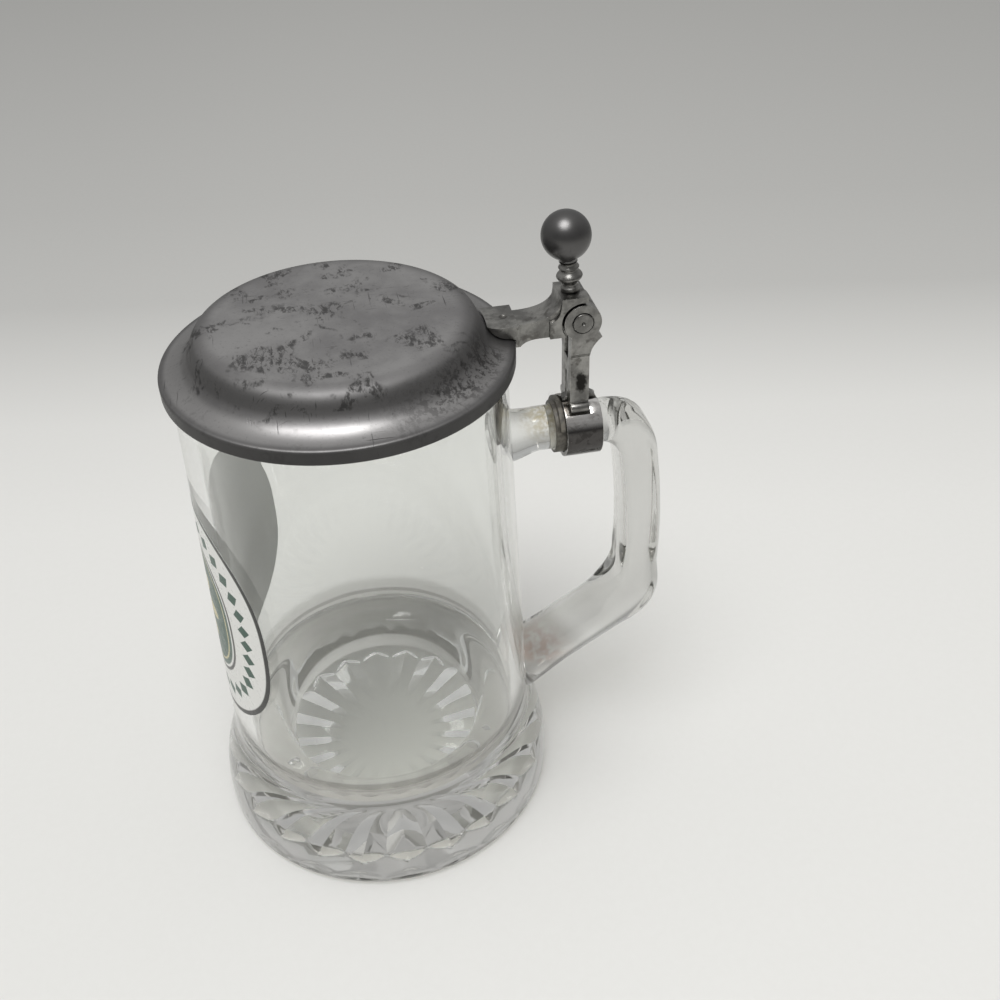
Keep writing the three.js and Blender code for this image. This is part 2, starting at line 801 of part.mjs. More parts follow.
const thumbLift = new THREE.Group();
thumbLift.position.set(thumbX() - hingeX, 0, blockTop - hingeZ);
thumbLift.rotation.y = -radians(thumbLean);
thumbLift.add(named("thumb_stem", thumbStem(), castMetal));
thumbLift.add(named("thumb_ball", thumbBall(), pewter));

// The swinging lid is grouped about the pin's axis
const swingingLid = new THREE.Group();
swingingLid.position.set(hingeX, 0, hingeZ);
swingingLid.add(named("lid", geometryOf(lidShell()).translate(-hingeX, 0, -hingeZ), pewter));
swingingLid.add(named("lid_arm", geometryOf(lidArm()).translate(-hingeX, 0, -hingeZ), castMetal));
swingingLid.add(thumbLift);

const stein = new THREE.Group();
stein.add(named("glass_mug", geometryOf(glassMug()), glass));
stein.add(named("clamp_liner", geometryOf(clampLiner()), linerRubber));
stein.add(named("clamp_strap", geometryOf(clampStrap()), strapMetal));
stein.add(named("hinge_post", geometryOf(hingePost()), castMetal));
stein.add(named("hinge_pin", hingePin(), castMetal));
stein.add(swingingLid);

export default stein;
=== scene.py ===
import math

import bmesh
import bpy
from mathutils import Euler, Matrix, Vector


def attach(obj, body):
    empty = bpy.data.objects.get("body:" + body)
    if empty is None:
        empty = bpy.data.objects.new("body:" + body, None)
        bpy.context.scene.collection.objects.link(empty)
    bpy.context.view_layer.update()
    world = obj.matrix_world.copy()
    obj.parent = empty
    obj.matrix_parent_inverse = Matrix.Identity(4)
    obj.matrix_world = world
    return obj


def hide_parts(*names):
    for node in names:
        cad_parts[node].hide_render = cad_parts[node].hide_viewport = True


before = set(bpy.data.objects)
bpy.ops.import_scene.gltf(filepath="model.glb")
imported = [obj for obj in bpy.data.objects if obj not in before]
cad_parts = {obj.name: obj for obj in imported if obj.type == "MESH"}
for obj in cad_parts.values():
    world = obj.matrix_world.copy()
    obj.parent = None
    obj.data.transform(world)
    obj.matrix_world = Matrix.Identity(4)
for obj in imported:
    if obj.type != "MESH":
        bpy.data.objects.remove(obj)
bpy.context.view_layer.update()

# Sizes in millimetres, most of them those of the solids in the frame
MM = 0.001

# Mug body
MUG_HEIGHT = 147
RIM_RADIUS, RIM_WALL = 41.2, 3.6
WAIST_RADIUS, WAIST_HEIGHT, WAIST_WALL, WAIST_LEAN, WAIST_DROP = 44.6, 30, 4.4, 0.5, 7
FOOT_RADIUS, FOOT_BAND, FOOT_EDGE = 50.2, 5, 2.2
FLOOR_HEIGHT, FLOOR_RADIUS, BOWL_RISE, BOWL_LEAN = 20, 28.2, 13.5, 3
RIM_CROWN = RIM_RADIUS - RIM_WALL / 2
BOWL_TOP = FLOOR_HEIGHT + BOWL_RISE

# Star under the foot
STAR_RAYS, RAY_STEPS = 20, 14
RAY_FROM, RAY_TO, RAY_DEPTH = 12, 36.5, 1.8
RAY_RISE, RAY_FALL, RAY_SCALLOP = 14, 1.2, 3
FLUTE_FROM, FLUTE_TO, FLUTE_DEPTH = 40, 47, 0.3
FLUTE_RISE, FLUTE_FALL, FLUTE_SCALLOP = 3, 1.5, 2.5

# Handle
ARM_DROP, ARM_RADIUS = 30, 6
ARM_HEIGHT = MUG_HEIGHT - ARM_DROP
LOWER_JOINT, LOWER_CORNER, LOWER_THICK, LOWER_WIDTH = 33, 56, 16.8, 16
GRIP_THICK, GRIP_WIDTH, GRIP_SQUARENESS, GRIP_LEAN, GRIP_BOW = 10.8, 15, 5.5, 3.2, 0.9
UPPER_BEND, LOWER_BEND, CORNER_FILL = 10, 13, 1.8
FLARE, FLARE_LENGTH = 2.4, 7

# Lid
LID_SHEET, SKIRT_HEIGHT, LID_FIT, LID_SEAT = 1.2, 3.6, 1, 0.3
LID_RADIUS = RIM_RADIUS + LID_FIT + LID_SHEET
BRIM_ROUND, BRIM_WIDTH, BRIM_RISE = 0.7, 6.6, 1.3
BRIM_SLOPE = BRIM_RISE / BRIM_WIDTH
BRIM_EDGE = MUG_HEIGHT + LID_SEAT + LID_SHEET - (LID_RADIUS - RIM_CROWN) * BRIM_SLOPE
DOME_FOOT = LID_RADIUS - BRIM_WIDTH
DOME_HEIGHT, DOME_DRAFT, DOME_CROWN = 7.6, 3, 0.4
DOME_FOOT_ROUND, DOME_SHOULDER_ROUND = 4.4, 3.2
SOLDER_GAP = 0.3

# Hinge and lid arm
HINGE_REACH, HINGE_RISE = 16.95, 2.15
HINGE_X, HINGE_Z = LID_RADIUS + HINGE_REACH, BRIM_EDGE + HINGE_RISE
PIN_RADIUS, PIN_FIT = 1.5, 0.25
PIN_HEAD_RADIUS, PIN_HEAD_HEIGHT, PIN_HEAD_ROUND, PIN_MARK, PIN_RECESS = 2.6, 1, 0.3, 0.5, 0.9
EAR_RADIUS, EAR_THICK, EAR_CLEAR, KNUCKLE, SLOT = 4.8, 3.5, 0.6, 3.2, 3.8
EAR_FACE = SLOT / 2 + EAR_THICK
EAR_SWEEP = EAR_RADIUS + EAR_CLEAR
LID_ARM_RISE, LID_ARM_THICK = 1, 4.5
LID_ARM_TOP = HINGE_Z + LID_ARM_RISE
LID_ARM_UNDER = LID_ARM_TOP - LID_ARM_THICK
LID_ARM_WIDTH, LID_ARM_LIP, LID_ARM_LIP_LENGTH, LID_ARM_HOLLOW = 8, 1.7, 5, 10
TONGUE_WIDTH, TONGUE_TUCK, TONGUE_STEP = 12, 1.2, 0.6
TONGUE_NEAR_ROUND, TONGUE_FAR_ROUND = 5, 0.8
DIMPLE_X, DIMPLE_ROUND, DIMPLE_DEPTH = LID_RADIUS - BRIM_WIDTH / 3, 1.8, 0.35
BLOCK_WIDTH, BLOCK_LENGTH, BLOCK_ROOT_LENGTH = 10.2, 6.65, 3.05
BLOCK_RISE, BLOCK_OVERHANG = 6.85, 1.35
BLOCK_TOP = HINGE_Z + BLOCK_RISE
BLOCK_BACK = HINGE_X + BLOCK_OVERHANG
BLOCK_FRONT = BLOCK_BACK - BLOCK_LENGTH
BLOCK_ROOT = BLOCK_FRONT - BLOCK_ROOT_LENGTH

# Thumb lift
THUMB_X = (BLOCK_FRONT + BLOCK_BACK) / 2
THUMB_LEAN = 5
STEM_HEIGHT, STEM_FOOT, STEM_NECK, STEM_BEAD, STEM_RING, STEM_TOP = 7.9, 2.4, 1.95, 3.3, 2.6, 2
SPIGOT_RADIUS, SPIGOT_DEPTH = 1.4, 3.2
BALL_RADIUS, BALL_NECK, BALL_FLARE, BALL_NECK_HEIGHT = 6.15, 2.3, 2.9, 1
BALL_SPIGOT_RADIUS, BALL_SPIGOT_LENGTH = 1.2, 3.6
SHOULDER_GAP, SOCKET_FIT = 0.3, 0.25

# Clamp round the handle
CLAMP_FIT, CLAMP_CLEAR, LINER_WALL, STRAP_WALL = 0.25, 0.35, 0.85, 1.15
LINER_INNER = ARM_RADIUS + CLAMP_FIT
LINER_OUTER = LINER_INNER + LINER_WALL
STRAP_INNER = LINER_OUTER + CLAMP_FIT
STRAP_OUTER = STRAP_INNER + STRAP_WALL
STRAP_WIDTH, STRAP_END_ANGLE = 9.8, 12
POST_SET_BACK, STRAP_SHIFT = 0.4, 0.9
POST_X = HINGE_X - POST_SET_BACK
STRAP_MIDDLE = POST_X + STRAP_SHIFT
STRAP_FROM = STRAP_MIDDLE - STRAP_WIDTH / 2
STRAP_TO = STRAP_MIDDLE + STRAP_WIDTH / 2
LINER_OVERHANG, LINER_FRONT, LINER_SLIT = 0.3, 1, 0.8
SHOULDER_WIDTH, SHOULDER_RISE, SHOULDER_ANGLE = 1.3, 1.2, 70
POST_THICK, POST_WIDTH, POST_NECK, POST_CHAMFER, SLOT_DROP = 5, 9, 8.65, 1.4, 11.5
SPUR_REACH, SPUR_DROP, SPUR_ROOT, SPUR_ANGLE = 5.05, 4.35, 9.05, -38
POCKET_WIDTH, POCKET_DEPTH, POCKET_FROM, POCKET_LENGTH = 1.4, 1.2, 0.6, 8
RIB_LENGTH, RIB_WIDTH, RIB_RISE, RIB_ROUND = 9.3, 2.4, 1.2, 2.2
TOE_ANGLE, TOE_RADIUS, TOE_LENGTH, TOE_STAND_OFF, TOE_GAP = 31, 1.35, 4.8, 0.9, 0.35
POST_FOOT = ARM_HEIGHT + STRAP_OUTER * math.cos(math.radians(STRAP_END_ANGLE)) + TOE_GAP


def wall_outside(z):
    share = (z - WAIST_HEIGHT) / (MUG_HEIGHT - WAIST_HEIGHT)
    return WAIST_RADIUS + (RIM_RADIUS - WAIST_RADIUS) * share


def wall_inside(z):
    share = (z - WAIST_HEIGHT) / (MUG_HEIGHT - WAIST_HEIGHT)
    return wall_outside(z) - (WAIST_WALL + (RIM_WALL - WAIST_WALL) * share)


# Curves
def arc(cx, cy, radius, start, end, steps):
    turns = [math.radians(start + (end - start) * i / steps) for i in range(steps + 1)]
    return [(cx + radius * math.cos(t), cy + radius * math.sin(t)) for t in turns]


def circle(cx, cy, radius, sides):
    return arc(cx, cy, radius, 0, 360, sides)[:-1]


def line(a, b, steps):
    shares = [i / steps for i in range(steps + 1)]
    return [(a[0] + (b[0] - a[0]) * s, a[1] + (b[1] - a[1]) * s) for s in shares]


def bend(a, corner, b, steps):
    points = []
    for i in range(steps + 1):
        t = i / steps
        wa, wc, wb = (1 - t) ** 2, 2 * t * (1 - t), t * t
        points.append(tuple(wa * a[k] + wc * corner[k] + wb * b[k] for k in (0, 1)))
    return points


def ogee(a, b, c, d, steps):
    points = []
    for i in range(steps + 1):
        t = i / steps
        w = ((1 - t) ** 3, 3 * t * (1 - t) ** 2, 3 * t * t * (1 - t), t ** 3)
        points.append(tuple(sum(w[n] * p[k] for n, p in enumerate((a, b, c, d))) for k in (0, 1)))
    return points


def spline(points, steps):
    """Smooth curve through all the points."""
    ends = [points[0]] + points + [points[-1]]
    result = []
    for i in range(1, len(ends) - 2):
        p0, p1, p2, p3 = ends[i - 1:i + 3]
        for k in range(steps):
            t = k / steps
            result.append(tuple(
                0.5 * (2 * p1[n] + (p2[n] - p0[n]) * t
                       + (2 * p0[n] - 5 * p1[n] + 4 * p2[n] - p3[n]) * t * t
                       + (3 * p1[n] - p0[n] - 3 * p2[n] + p3[n]) * t ** 3)
                for n in (0, 1)))
    return result + [points[-1]]


def joined(*parts):
    """Point lists end to end, without the repeated points where they meet."""
    result = []
    for point in [p for part in parts for p in part]:
        if not result or math.dist(point, result[-1]) > 1e-4:
            result.append(point)
    return result


# Meshes
def placed(name, bm):
    bmesh.ops.remove_doubles(bm, verts=bm.verts, dist=1e-8)
    bmesh.ops.recalc_face_normals(bm, faces=bm.faces)
    mesh = bpy.data.meshes.new(name)
    bm.to_mesh(mesh)
    bm.free()
    piece = bpy.data.objects.new(name, mesh)
    bpy.context.scene.collection.objects.link(piece)
    return piece


def skinned(bm, rings):
    for low, high in zip(rings, rings[1:]):
        count = max(len(low), len(high))
        for i in range(count):
            corners = [low[i % len(low)], low[(i + 1) % len(low)],
                       high[(i + 1) % len(high)], high[i % len(high)]]
            unique = list(dict.fromkeys(corners))
            if len(unique) > 2:
                bm.faces.new(unique)


def turned(name, profile, sides, place=None):
    """A profile of (radius, height) turned about Z."""
    bm = bmesh.new()
    rings = []
    for radius, height in profile:
        count = sides if radius > 1e-6 else 1
        ring = []
        for i in range(count):
            turn = 2 * math.pi * i / count
            point = Vector((radius * math.cos(turn), radius * math.sin(turn), height))
            ring.append(bm.verts.new((place @ point if place else point) * MM))
        rings.append(ring)
    skinned(bm, rings)
    return placed(name, bm)


AXES = {
    "X": lambda a, b, depth: (depth, a, b),
    "Y": lambda a, b, depth: (a, depth, b),
    "Z": lambda a, b, depth: (a, b, depth),
}


def prism(name, outline, axis, start, end):
    """An outline in the two other axes pushed along the named one."""
    bm = bmesh.new()
    put = AXES[axis]
    low, high = [
        [bm.verts.new(Vector(put(a, b, depth)) * MM) for a, b in outline] for depth in (start, end)]
    bm.faces.new(low)
    bm.faces.new(high)
    skinned(bm, [low, high])
    return placed(name, bm)


def hinge_rod(radius, start, end):
    """A round bar along the hinge's axis."""
    return prism("rod", circle(HINGE_X, HINGE_Z, radius, 96), "Y", start, end)


def settled(piece):
    """Puts what the modifiers make into the mesh itself."""
    evaluated = piece.evaluated_get(bpy.context.evaluated_depsgraph_get())
    mesh = bpy.data.meshes.new_from_object(evaluated)
    piece.modifiers.clear()
    plain = piece.data
    piece.data = mesh
    mesh.name = piece.name
    bpy.data.meshes.remove(plain)
    return piece


def combined(piece, tool, operation):
    step = piece.modifiers.new("join", "BOOLEAN")
    step.operation = operation
    step.solver = "EXACT"
    step.object = tool
    settled(piece)
    bpy.data.objects.remove(tool)
    return piece


def cut(piece, *tools):
    for tool in tools:
        combined(piece, tool, "DIFFERENCE")
    return piece


def added(piece, *tools):
    for tool in tools:
        combined(piece, tool, "UNION")
    return piece


def shaded(piece, sharp_above):
    mesh = piece.data
    mesh.polygons.foreach_set("use_smooth", [True] * len(mesh.polygons))
    mesh.set_sharp_from_angle(angle=math.radians(sharp_above))
    return piece


def eased(piece, width):
    """Rounds the edges of a casting or a strip."""
    for _ in range(2):
        piece.data.materials.append(None)
    step = piece.modifiers.new("ease", "BEVEL")
    step.material = 1
    step.width = width * MM
    step.segments = 3
    step.limit_method = "ANGLE"
    step.angle_limit = math.radians(28)
    step.use_clamp_overlap = True
    step.miter_outer = "MITER_ARC"
    return settled(piece)


# Node trees
def node(tree, kind, values=None, **settings):
    made = tree.nodes.new(kind)
    for key, value in settings.items():
        setattr(made, key, value)
    for key, value in (values or {}).items():
        if isinstance(value, bpy.types.NodeSocket):
            tree.links.new(value, made.inputs[key])
        else:
            made.inputs[key].default_value = value
    return made


def maths(tree, operation, a, b=0.0):
    return node(tree, "ShaderNodeMath", {0: a, 1: b}, operation=operation).outputs[0]


def times(tree, first, *others):
    for other in others:
        first = maths(tree, "MULTIPLY", first, other)
    return first


def outside_of(tree, mask):
    return maths(tree, "SUBTRACT", 1.0, mask)


def noise(tree, where, scale, detail=4.0, rough=0.55, warp=0.0):
    values = {"Vector": where, "Scale": scale, "Detail": detail, "Roughness": rough, "Distortion": warp}
    return node(tree, "ShaderNodeTexNoise", values).outputs["Fac"]


def ranged(tree, value, low, high, to_low=0.0, to_high=1.0, smooth=True):
    values = {"Value": value, "From Min": low, "From Max": high, "To Min": to_low, "To Max": to_high}
    kind = "SMOOTHSTEP" if smooth else "LINEAR"
    return node(tree, "ShaderNodeMapRange", values, interpolation_type=kind).outputs["Result"]


def zone(tree, value, start, end):
    """A mask that grows from 0 at start to 1 at end, both in millimetres."""
    return ranged(tree, value, start * MM, end * MM)


def away_from(tree, value, middle):
    return maths(tree, "ABSOLUTE", maths(tree, "SUBTRACT", value, middle * MM))


def blended(tree, share, a, b):
    """Colour a where share is 0 and colour b where it is 1."""
    a, b = [c if isinstance(c, bpy.types.NodeSocket) else (*c, 1) for c in (a, b)]
    return node(tree, "ShaderNodeMix", {0: share, 6: a, 7: b}, data_type="RGBA").outputs[2]


def layered(tree, tone, *coats):
    """Lays coats of (mask, strength, colour) over a tone."""
    for mask, strength, colour in coats:
        tone = blended(tree, times(tree, mask, strength), tone, colour)
    return tone


def graded(tree, value, stops, tint):
    """Greys at places from 0 to 1 along a value, in a tint."""
    ramp = node(tree, "ShaderNodeValToRGB", {"Fac": value})
    for n, (place, tone) in enumerate(stops):
        stop = ramp.color_ramp.elements[n] if n < 2 else ramp.color_ramp.elements.new(place)
        stop.position = place
        stop.color = (*[tone * part for part in tint], 1)
    return ramp.outputs["Color"]


def mapped(tree, where, scale=(1, 1, 1), turn=(0, 0, 0), shift=(0, 0, 0)):
    values = {"Vector": where, "Scale": scale, "Rotation": turn, "Location": shift}
    return node(tree, "ShaderNodeMapping", values).outputs["Vector"]


def split(tree, vector):
    return node(tree, "ShaderNodeSeparateXYZ", {"Vector": vector}).outputs


def length(tree, vector):
    return node(tree, "ShaderNodeVectorMath", {0: vector}, operation="LENGTH").outputs["Value"]


def from_axis(tree, a, b):
    """Distance from the axis along which both coordinates are 0."""
    return length(tree, node(tree, "ShaderNodeCombineXYZ", {"X": a, "Y": b}).outputs[0])


def from_centre(tree, where, centre, size):
    """Distance from a centre, in which 1 is the size along each axis."""
    scale = [1 / (s * MM) for s in size]
    return length(tree, mapped(tree, where, scale, shift=[-c / s for c, s in zip(centre, size)]))


def bumped(tree, height, strength, distance):
    values = {"Height": height, "Strength": strength, "Distance": distance * MM}
    return node(tree, "ShaderNodeBump", values).outputs["Normal"]


def finish(name, **values):
    """A material with one main shader: returns it with its tree, shader and object coordinates."""
    made = bpy.data.materials.new(name)
    made.use_nodes = True
    tree = made.node_tree
    shader = tree.nodes["Principled BSDF"]
    for key, value in values.items():
        shader.inputs[key.replace("_", " ").title().replace("Ior", "IOR")].default_value = value
    where = tree.nodes.new("ShaderNodeTexCoord").outputs["Object"]
    return made, tree, shader, where


def wired(tree, shader, tone, roughness, normal=None):
    tree.links.new(tone, shader.inputs["Base Color"])
    tree.links.new(roughness, shader.inputs["Roughness"])
    if normal:
        tree.links.new(normal, shader.inputs["Normal"])


def clear_glass():
    made, tree, shader, where = finish(
        "clear_pressed_glass", transmission_weight=1.0, ior=1.5, roughness=0.0)
    x, y, z = split(tree, where)
    out = from_axis(tree, x, y)

    # Old dirt drawn into the joint by the clamp and into the lower joint of the handle
    def spot(centre, radius, grain):
        reach = from_centre(tree, where, centre, [radius] * 3)
        mottled = ranged(tree, noise(tree, where, grain), 0.28, 0.62)
        return times(tree, ranged(tree, reach, 1.0, 0.2), mottled)

    at_clamp = spot((51, -2, ARM_HEIGHT + 5), radius=10, grain=900)
    at_joint = spot((47, -7, LOWER_JOINT + 7), radius=14, grain=400)
    # The thick foot and grip hold back more light
    low = zone(tree, z, WAIST_HEIGHT + 6, WAIST_HEIGHT - 2)
    in_foot = times(tree, low, zone(tree, out, WAIST_RADIUS - 6.6, WAIST_RADIUS - 2.6))
    in_grip = zone(tree, x, WAIST_RADIUS + 7.4, WAIST_RADIUS + 27.4)
    # A grey line painted on the inside where the bowl begins to curve in
    off_line = away_from(tree, z, BOWL_TOP + 0.8)
    inside = zone(tree, out, WAIST_RADIUS - 2.4, WAIST_RADIUS - 3.2)
    bowl_line = times(tree, zone(tree, off_line, 1.1, 0.5), inside)
    # Painted shade: a grey band in the hollow of the waist, a painted contact shadow along the foot's edge
    # and painted shade on the near side of the bowl
    waist = times(tree, zone(tree, z, WAIST_HEIGHT + 9.5, WAIST_HEIGHT + 5.5),
                  zone(tree, z, WAIST_HEIGHT - 4, WAIST_HEIGHT),
                  zone(tree, out, WAIST_RADIUS - 2.6, WAIST_RADIUS - 1.1))
    painted_contact_shadow = times(tree, zone(tree, z, FOOT_EDGE + 1.2, FOOT_EDGE - 0.6),
                      zone(tree, out, FOOT_RADIUS - 2.7, FOOT_RADIUS - 1.2))
    near_bowl_shade = times(tree, zone(tree, z, BOWL_TOP + 2.5, BOWL_TOP - 0.5),
                 zone(tree, out, FLOOR_RADIUS + 0.3, FLOOR_RADIUS + 2.8),
                 zone(tree, out, WAIST_RADIUS - 2.1, WAIST_RADIUS - 3.6), zone(tree, y, 12, -12))
    tone = layered(
        tree, blended(tree, in_foot, (0.93, 0.938, 0.926), (0.82, 0.82, 0.805)),
        (in_grip, 1, (0.73, 0.73, 0.715)),
        (at_clamp, 1, (0.50, 0.42, 0.25)),
        (at_joint, 1, (0.68, 0.50, 0.43)),
        (bowl_line, 0.8, (0.26, 0.255, 0.24)),
        # painted shade in the waist, painted contact shadow along the foot and painted shade on the near
        # side of the bowl
        (waist, 0.9, (0.48, 0.475, 0.46)),
        (painted_contact_shadow, 0.8, (0.4, 0.395, 0.38)),
        (near_bowl_shade, 0.8, (0.62, 0.615, 0.60)),
    )
    # The underside is scuffed by the tables it has stood on
    scuffed = times(tree, zone(tree, z, RAY_DEPTH + 0.6, RAY_DEPTH - 0.1), 0.02)
    ripple = noise(tree, where, 45, 1)
    wired(tree, shader, tone, scuffed, bumped(tree, ripple, 0.1, 0.5))
    # Lamps shine through it on to what lies behind, and light that runs on inside it comes out
    path = node(tree, "ShaderNodeLightPath").outputs
    trapped = maths(tree, "GREATER_THAN", path["Glossy Depth"], 2.5)
    let_through = maths(tree, "MAXIMUM", path["Is Shadow Ray"], trapped)
    through = blended(tree, in_foot, (0.74, 0.74, 0.725), (0.66, 0.655, 0.64))
    passed = node(tree, "ShaderNodeBsdfTransparent", {"Color": through}).outputs[0]
    both = node(tree, "ShaderNodeMixShader", {0: let_through, 1: shader.outputs[0], 2: passed}).outputs[0]
    tree.links.new(both, tree.nodes["Material Output"].inputs["Surface"])
    return made


def dull_pewter():
    made, tree, shader, where = finish("dull_pewter", metallic=1.0)
    x, y, z = split(tree, where)
    out = from_axis(tree, x, y)
    film = ranged(tree, noise(tree, where, 48, 5, 0.62), 0.32, 0.68)
    grain = noise(tree, where, 1400, 6, 0.7)
    on_ball = zone(tree, z, BLOCK_TOP + 3, BLOCK_TOP + 4)
    off_ball = outside_of(tree, on_ball)
    # The brim is rubbed up to its dark edge
    on_brim = times(tree, zone(tree, out, DOME_FOOT - 0.5, DOME_FOOT + 1.2),
                    zone(tree, z, BRIM_EDGE + 3.6, BRIM_EDGE + 2))
    brim_edge = zone(tree, out, LID_RADIUS - 2.2, LID_RADIUS - 0.8)
    rubbed_brim = times(tree, on_brim, outside_of(tree, brim_edge))
    # Dark patches broken up into short marks, fainter on the brim
    spread = mapped(tree, where, shift=(0.031, 0.012, 0))
    patch = ranged(tree, noise(tree, spread, 118, 3, 0.55, 0.5), 0.53, 0.62)
    marks = noise(tree, mapped(tree, where, (700, 330, 500), (0, 0, 0.5)), 1.0, 6, 0.72, 0.4)
    patch = times(tree, patch, ranged(tree, marks, 0.44, 0.58), off_ball)
    patch = times(tree, patch, ranged(tree, on_brim, 0, 1, 1.0, 0.35))
    # Dirt gathers round the foot of the dome, most on the side by the handle
    by_foot = zone(tree, away_from(tree, out, DOME_FOOT + 1), 5.5, 0.5)
    by_handle = times(tree, zone(tree, x, 0, 30), zone(tree, y, -7, -15))
    crust = ranged(tree, noise(tree, where, 560, 6, 0.75, 0.3), 0.47, 0.56)
    dirt = times(tree, by_foot, by_handle, crust)
    # Short scratches in two directions
    fine = noise(tree, mapped(tree, where, (2600, 60, 200), (0, 0, 0.6)), 1.0, 2, 0.5)
    cross = noise(tree, mapped(tree, where, (70, 2400, 200), (0, 0, 0.35)), 1.0, 2, 0.5)
    scratch = maths(tree, "MAXIMUM", ranged(tree, fine, 0.66, 0.72), ranged(tree, cross, 0.68, 0.74))
    scratch = times(tree, scratch, ranged(tree, noise(tree, where, 70, 2), 0.52, 0.6), off_ball)
    # The dome has dulled at its shoulder and side, and the skirt has gone nearly black
    dome_top = DOME_FOOT - DOME_DRAFT
    above = zone(tree, z, BRIM_EDGE + 3, BRIM_EDGE + 4.6)
    shoulder = times(tree, zone(tree, out, dome_top - 5, dome_top - 1), above, off_ball)
    dome_side = times(tree, zone(tree, out, dome_top - 0.8, dome_top + 0.6),
                      zone(tree, out, DOME_FOOT + 1.4, DOME_FOOT - 0.2))
    skirt = zone(tree, z, BRIM_EDGE - 0.1, BRIM_EDGE - 0.7)
    tone = layered(
        tree, blended(tree, film, (0.235, 0.229, 0.23), (0.36, 0.353, 0.351)),
        (on_ball, 0.72, (0.105, 0.103, 0.103)),
        (rubbed_brim, 0.6, (0.26, 0.254, 0.251)),
        (shoulder, 0.72, (0.13, 0.127, 0.126)),
        (dome_side, 0.5, (0.085, 0.083, 0.082)),
        (brim_edge, 0.7, (0.09, 0.088, 0.087)),
        (ranged(tree, grain, 0.56, 0.72), 0.45, (0.07, 0.068, 0.067)),
        (patch, 0.8, (0.045, 0.044, 0.043)),
        (scratch, 0.7, (0.04, 0.039, 0.038)),
        (dirt, 0.8, (0.02, 0.019, 0.018)),
        (skirt, 0.78, (0.05, 0.049, 0.049)),
    )
    worn = ranged(tree, film, 0, 1, 0.50, 0.43, False)
    changes = [(patch, 0.12), (rubbed_brim, -0.06), (on_ball, -0.1), (shoulder, 0.12), (dirt, 0.25)]
    for mask, change in changes:
        worn = maths(tree, "ADD", worn, times(tree, mask, change))
    relief = maths(tree, "SUBTRACT", times(tree, grain, 0.5), scratch)
    wired(tree, shader, tone, worn, bumped(tree, relief, 0.25, 0.1))
    return made


def cast_pewter():
    made, tree, shader, where = finish("cast_pewter", metallic=1.0)
    grain = noise(tree, where, 900, 6, 0.65)
    broad = ranged(tree, noise(tree, where, 160, 4, 0.6), 0.38, 0.64)
    tarnish = ranged(tree, noise(tree, where, 330, 5, 0.65, 0.4), 0.54, 0.66)

    # A black mark on the post and a dark spot painted in the dimple of the tongue
    def mark(centre, size):
        ragged = maths(tree, "ADD", from_centre(tree, where, centre, size), times(tree, grain, 0.9))
        return ranged(tree, ragged, 1.35, 0.95)

    on_post = mark((POST_X + 0.4, -POST_WIDTH / 2, POST_FOOT + 6.8), (2.0, 2.2, 4.2))
    on_tongue = mark((DIMPLE_X, 0, LID_ARM_TOP + TONGUE_STEP), (1.5, 1.5, 2))
    tone = layered(
        tree, blended(tree, broad, (0.15, 0.147, 0.14), (0.30, 0.295, 0.28)),
        (tarnish, 0.7, (0.085, 0.08, 0.074)),
        (on_tongue, 0.7, (0.06, 0.057, 0.052)),
        (on_post, 0.95, (0.012, 0.011, 0.01)),
    )
    worn = ranged(tree, grain, 0.3, 0.75, 0.24, 0.46, False)
    wired(tree, shader, tone, worn, bumped(tree, grain, 0.3, 0.12))
    return made


def rubbed_edge():
    made, tree, shader, where = finish("rubbed_edge", metallic=1.0)
    wear = ranged(tree, noise(tree, where, 420, 4, 0.65), 0.42, 0.62)
    tone = blended(tree, wear, (0.30, 0.295, 0.28), (0.80, 0.79, 0.77))
    wired(tree, shader, tone, ranged(tree, wear, 0, 1, 0.38, 0.22, False))
    return made


def bright_strap():
    made, tree, shader, where = finish("bright_strap", metallic=1.0)
    x, _, z = split(tree, where)
    rolled = noise(tree, mapped(tree, where, (300, 3000, 3000)), 1.0, 3, 0.6)
    stain = ranged(tree, noise(tree, where, 380, 6, 0.7, 0.5), 0.48, 0.62)
    # Brown on top by the lid; below its top the strap is painted nearly black, as painted shade down the
    # sides
    brown = times(tree, zone(tree, z, ARM_HEIGHT + 4, ARM_HEIGHT + 8),
                  zone(tree, x, STRAP_MIDDLE + 1, STRAP_FROM))
    side = zone(tree, z, ARM_HEIGHT + 4.5, ARM_HEIGHT + 2.5)
    tone = layered(
        tree, blended(tree, rolled, (0.50, 0.485, 0.475), (0.70, 0.685, 0.67)),
        (stain, 0.6, (0.10, 0.09, 0.084)),
        (brown, 0.75, (0.20, 0.17, 0.135)),
        # painted shade down the sides
        (side, 0.92, (0.035, 0.032, 0.031)),
    )
    worn = ranged(tree, stain, 0, 1, 0.16, 0.36, False)
    wired(tree, shader, tone, worn, bumped(tree, rolled, 0.12, 0.08))
    return made


def liner_sleeve():
    made, tree, shader, where = finish("liner_sleeve", ior=1.46)
    grain = noise(tree, where, 700, 5, 0.65)
    tone = blended(tree, ranged(tree, grain, 0.38, 0.62), (0.06, 0.055, 0.046), (0.15, 0.138, 0.116))
    # Painted light: the face against the glass is painted pale, where little light reaches between the
    # glass and the strap
    _, y, z = split(tree, where)
    out = from_axis(tree, y, maths(tree, "SUBTRACT", z, ARM_HEIGHT * MM))
    painted_light_inside = zone(tree, out, LINER_INNER + 0.2, LINER_INNER + 0.05)
    tone = blended(tree, painted_light_inside, tone, (0.72, 0.71, 0.68))
    worn = ranged(tree, grain, 0.3, 0.7, 0.40, 0.6, False)
    wired(tree, shader, tone, worn, bumped(tree, grain, 0.2, 0.15))
    return made


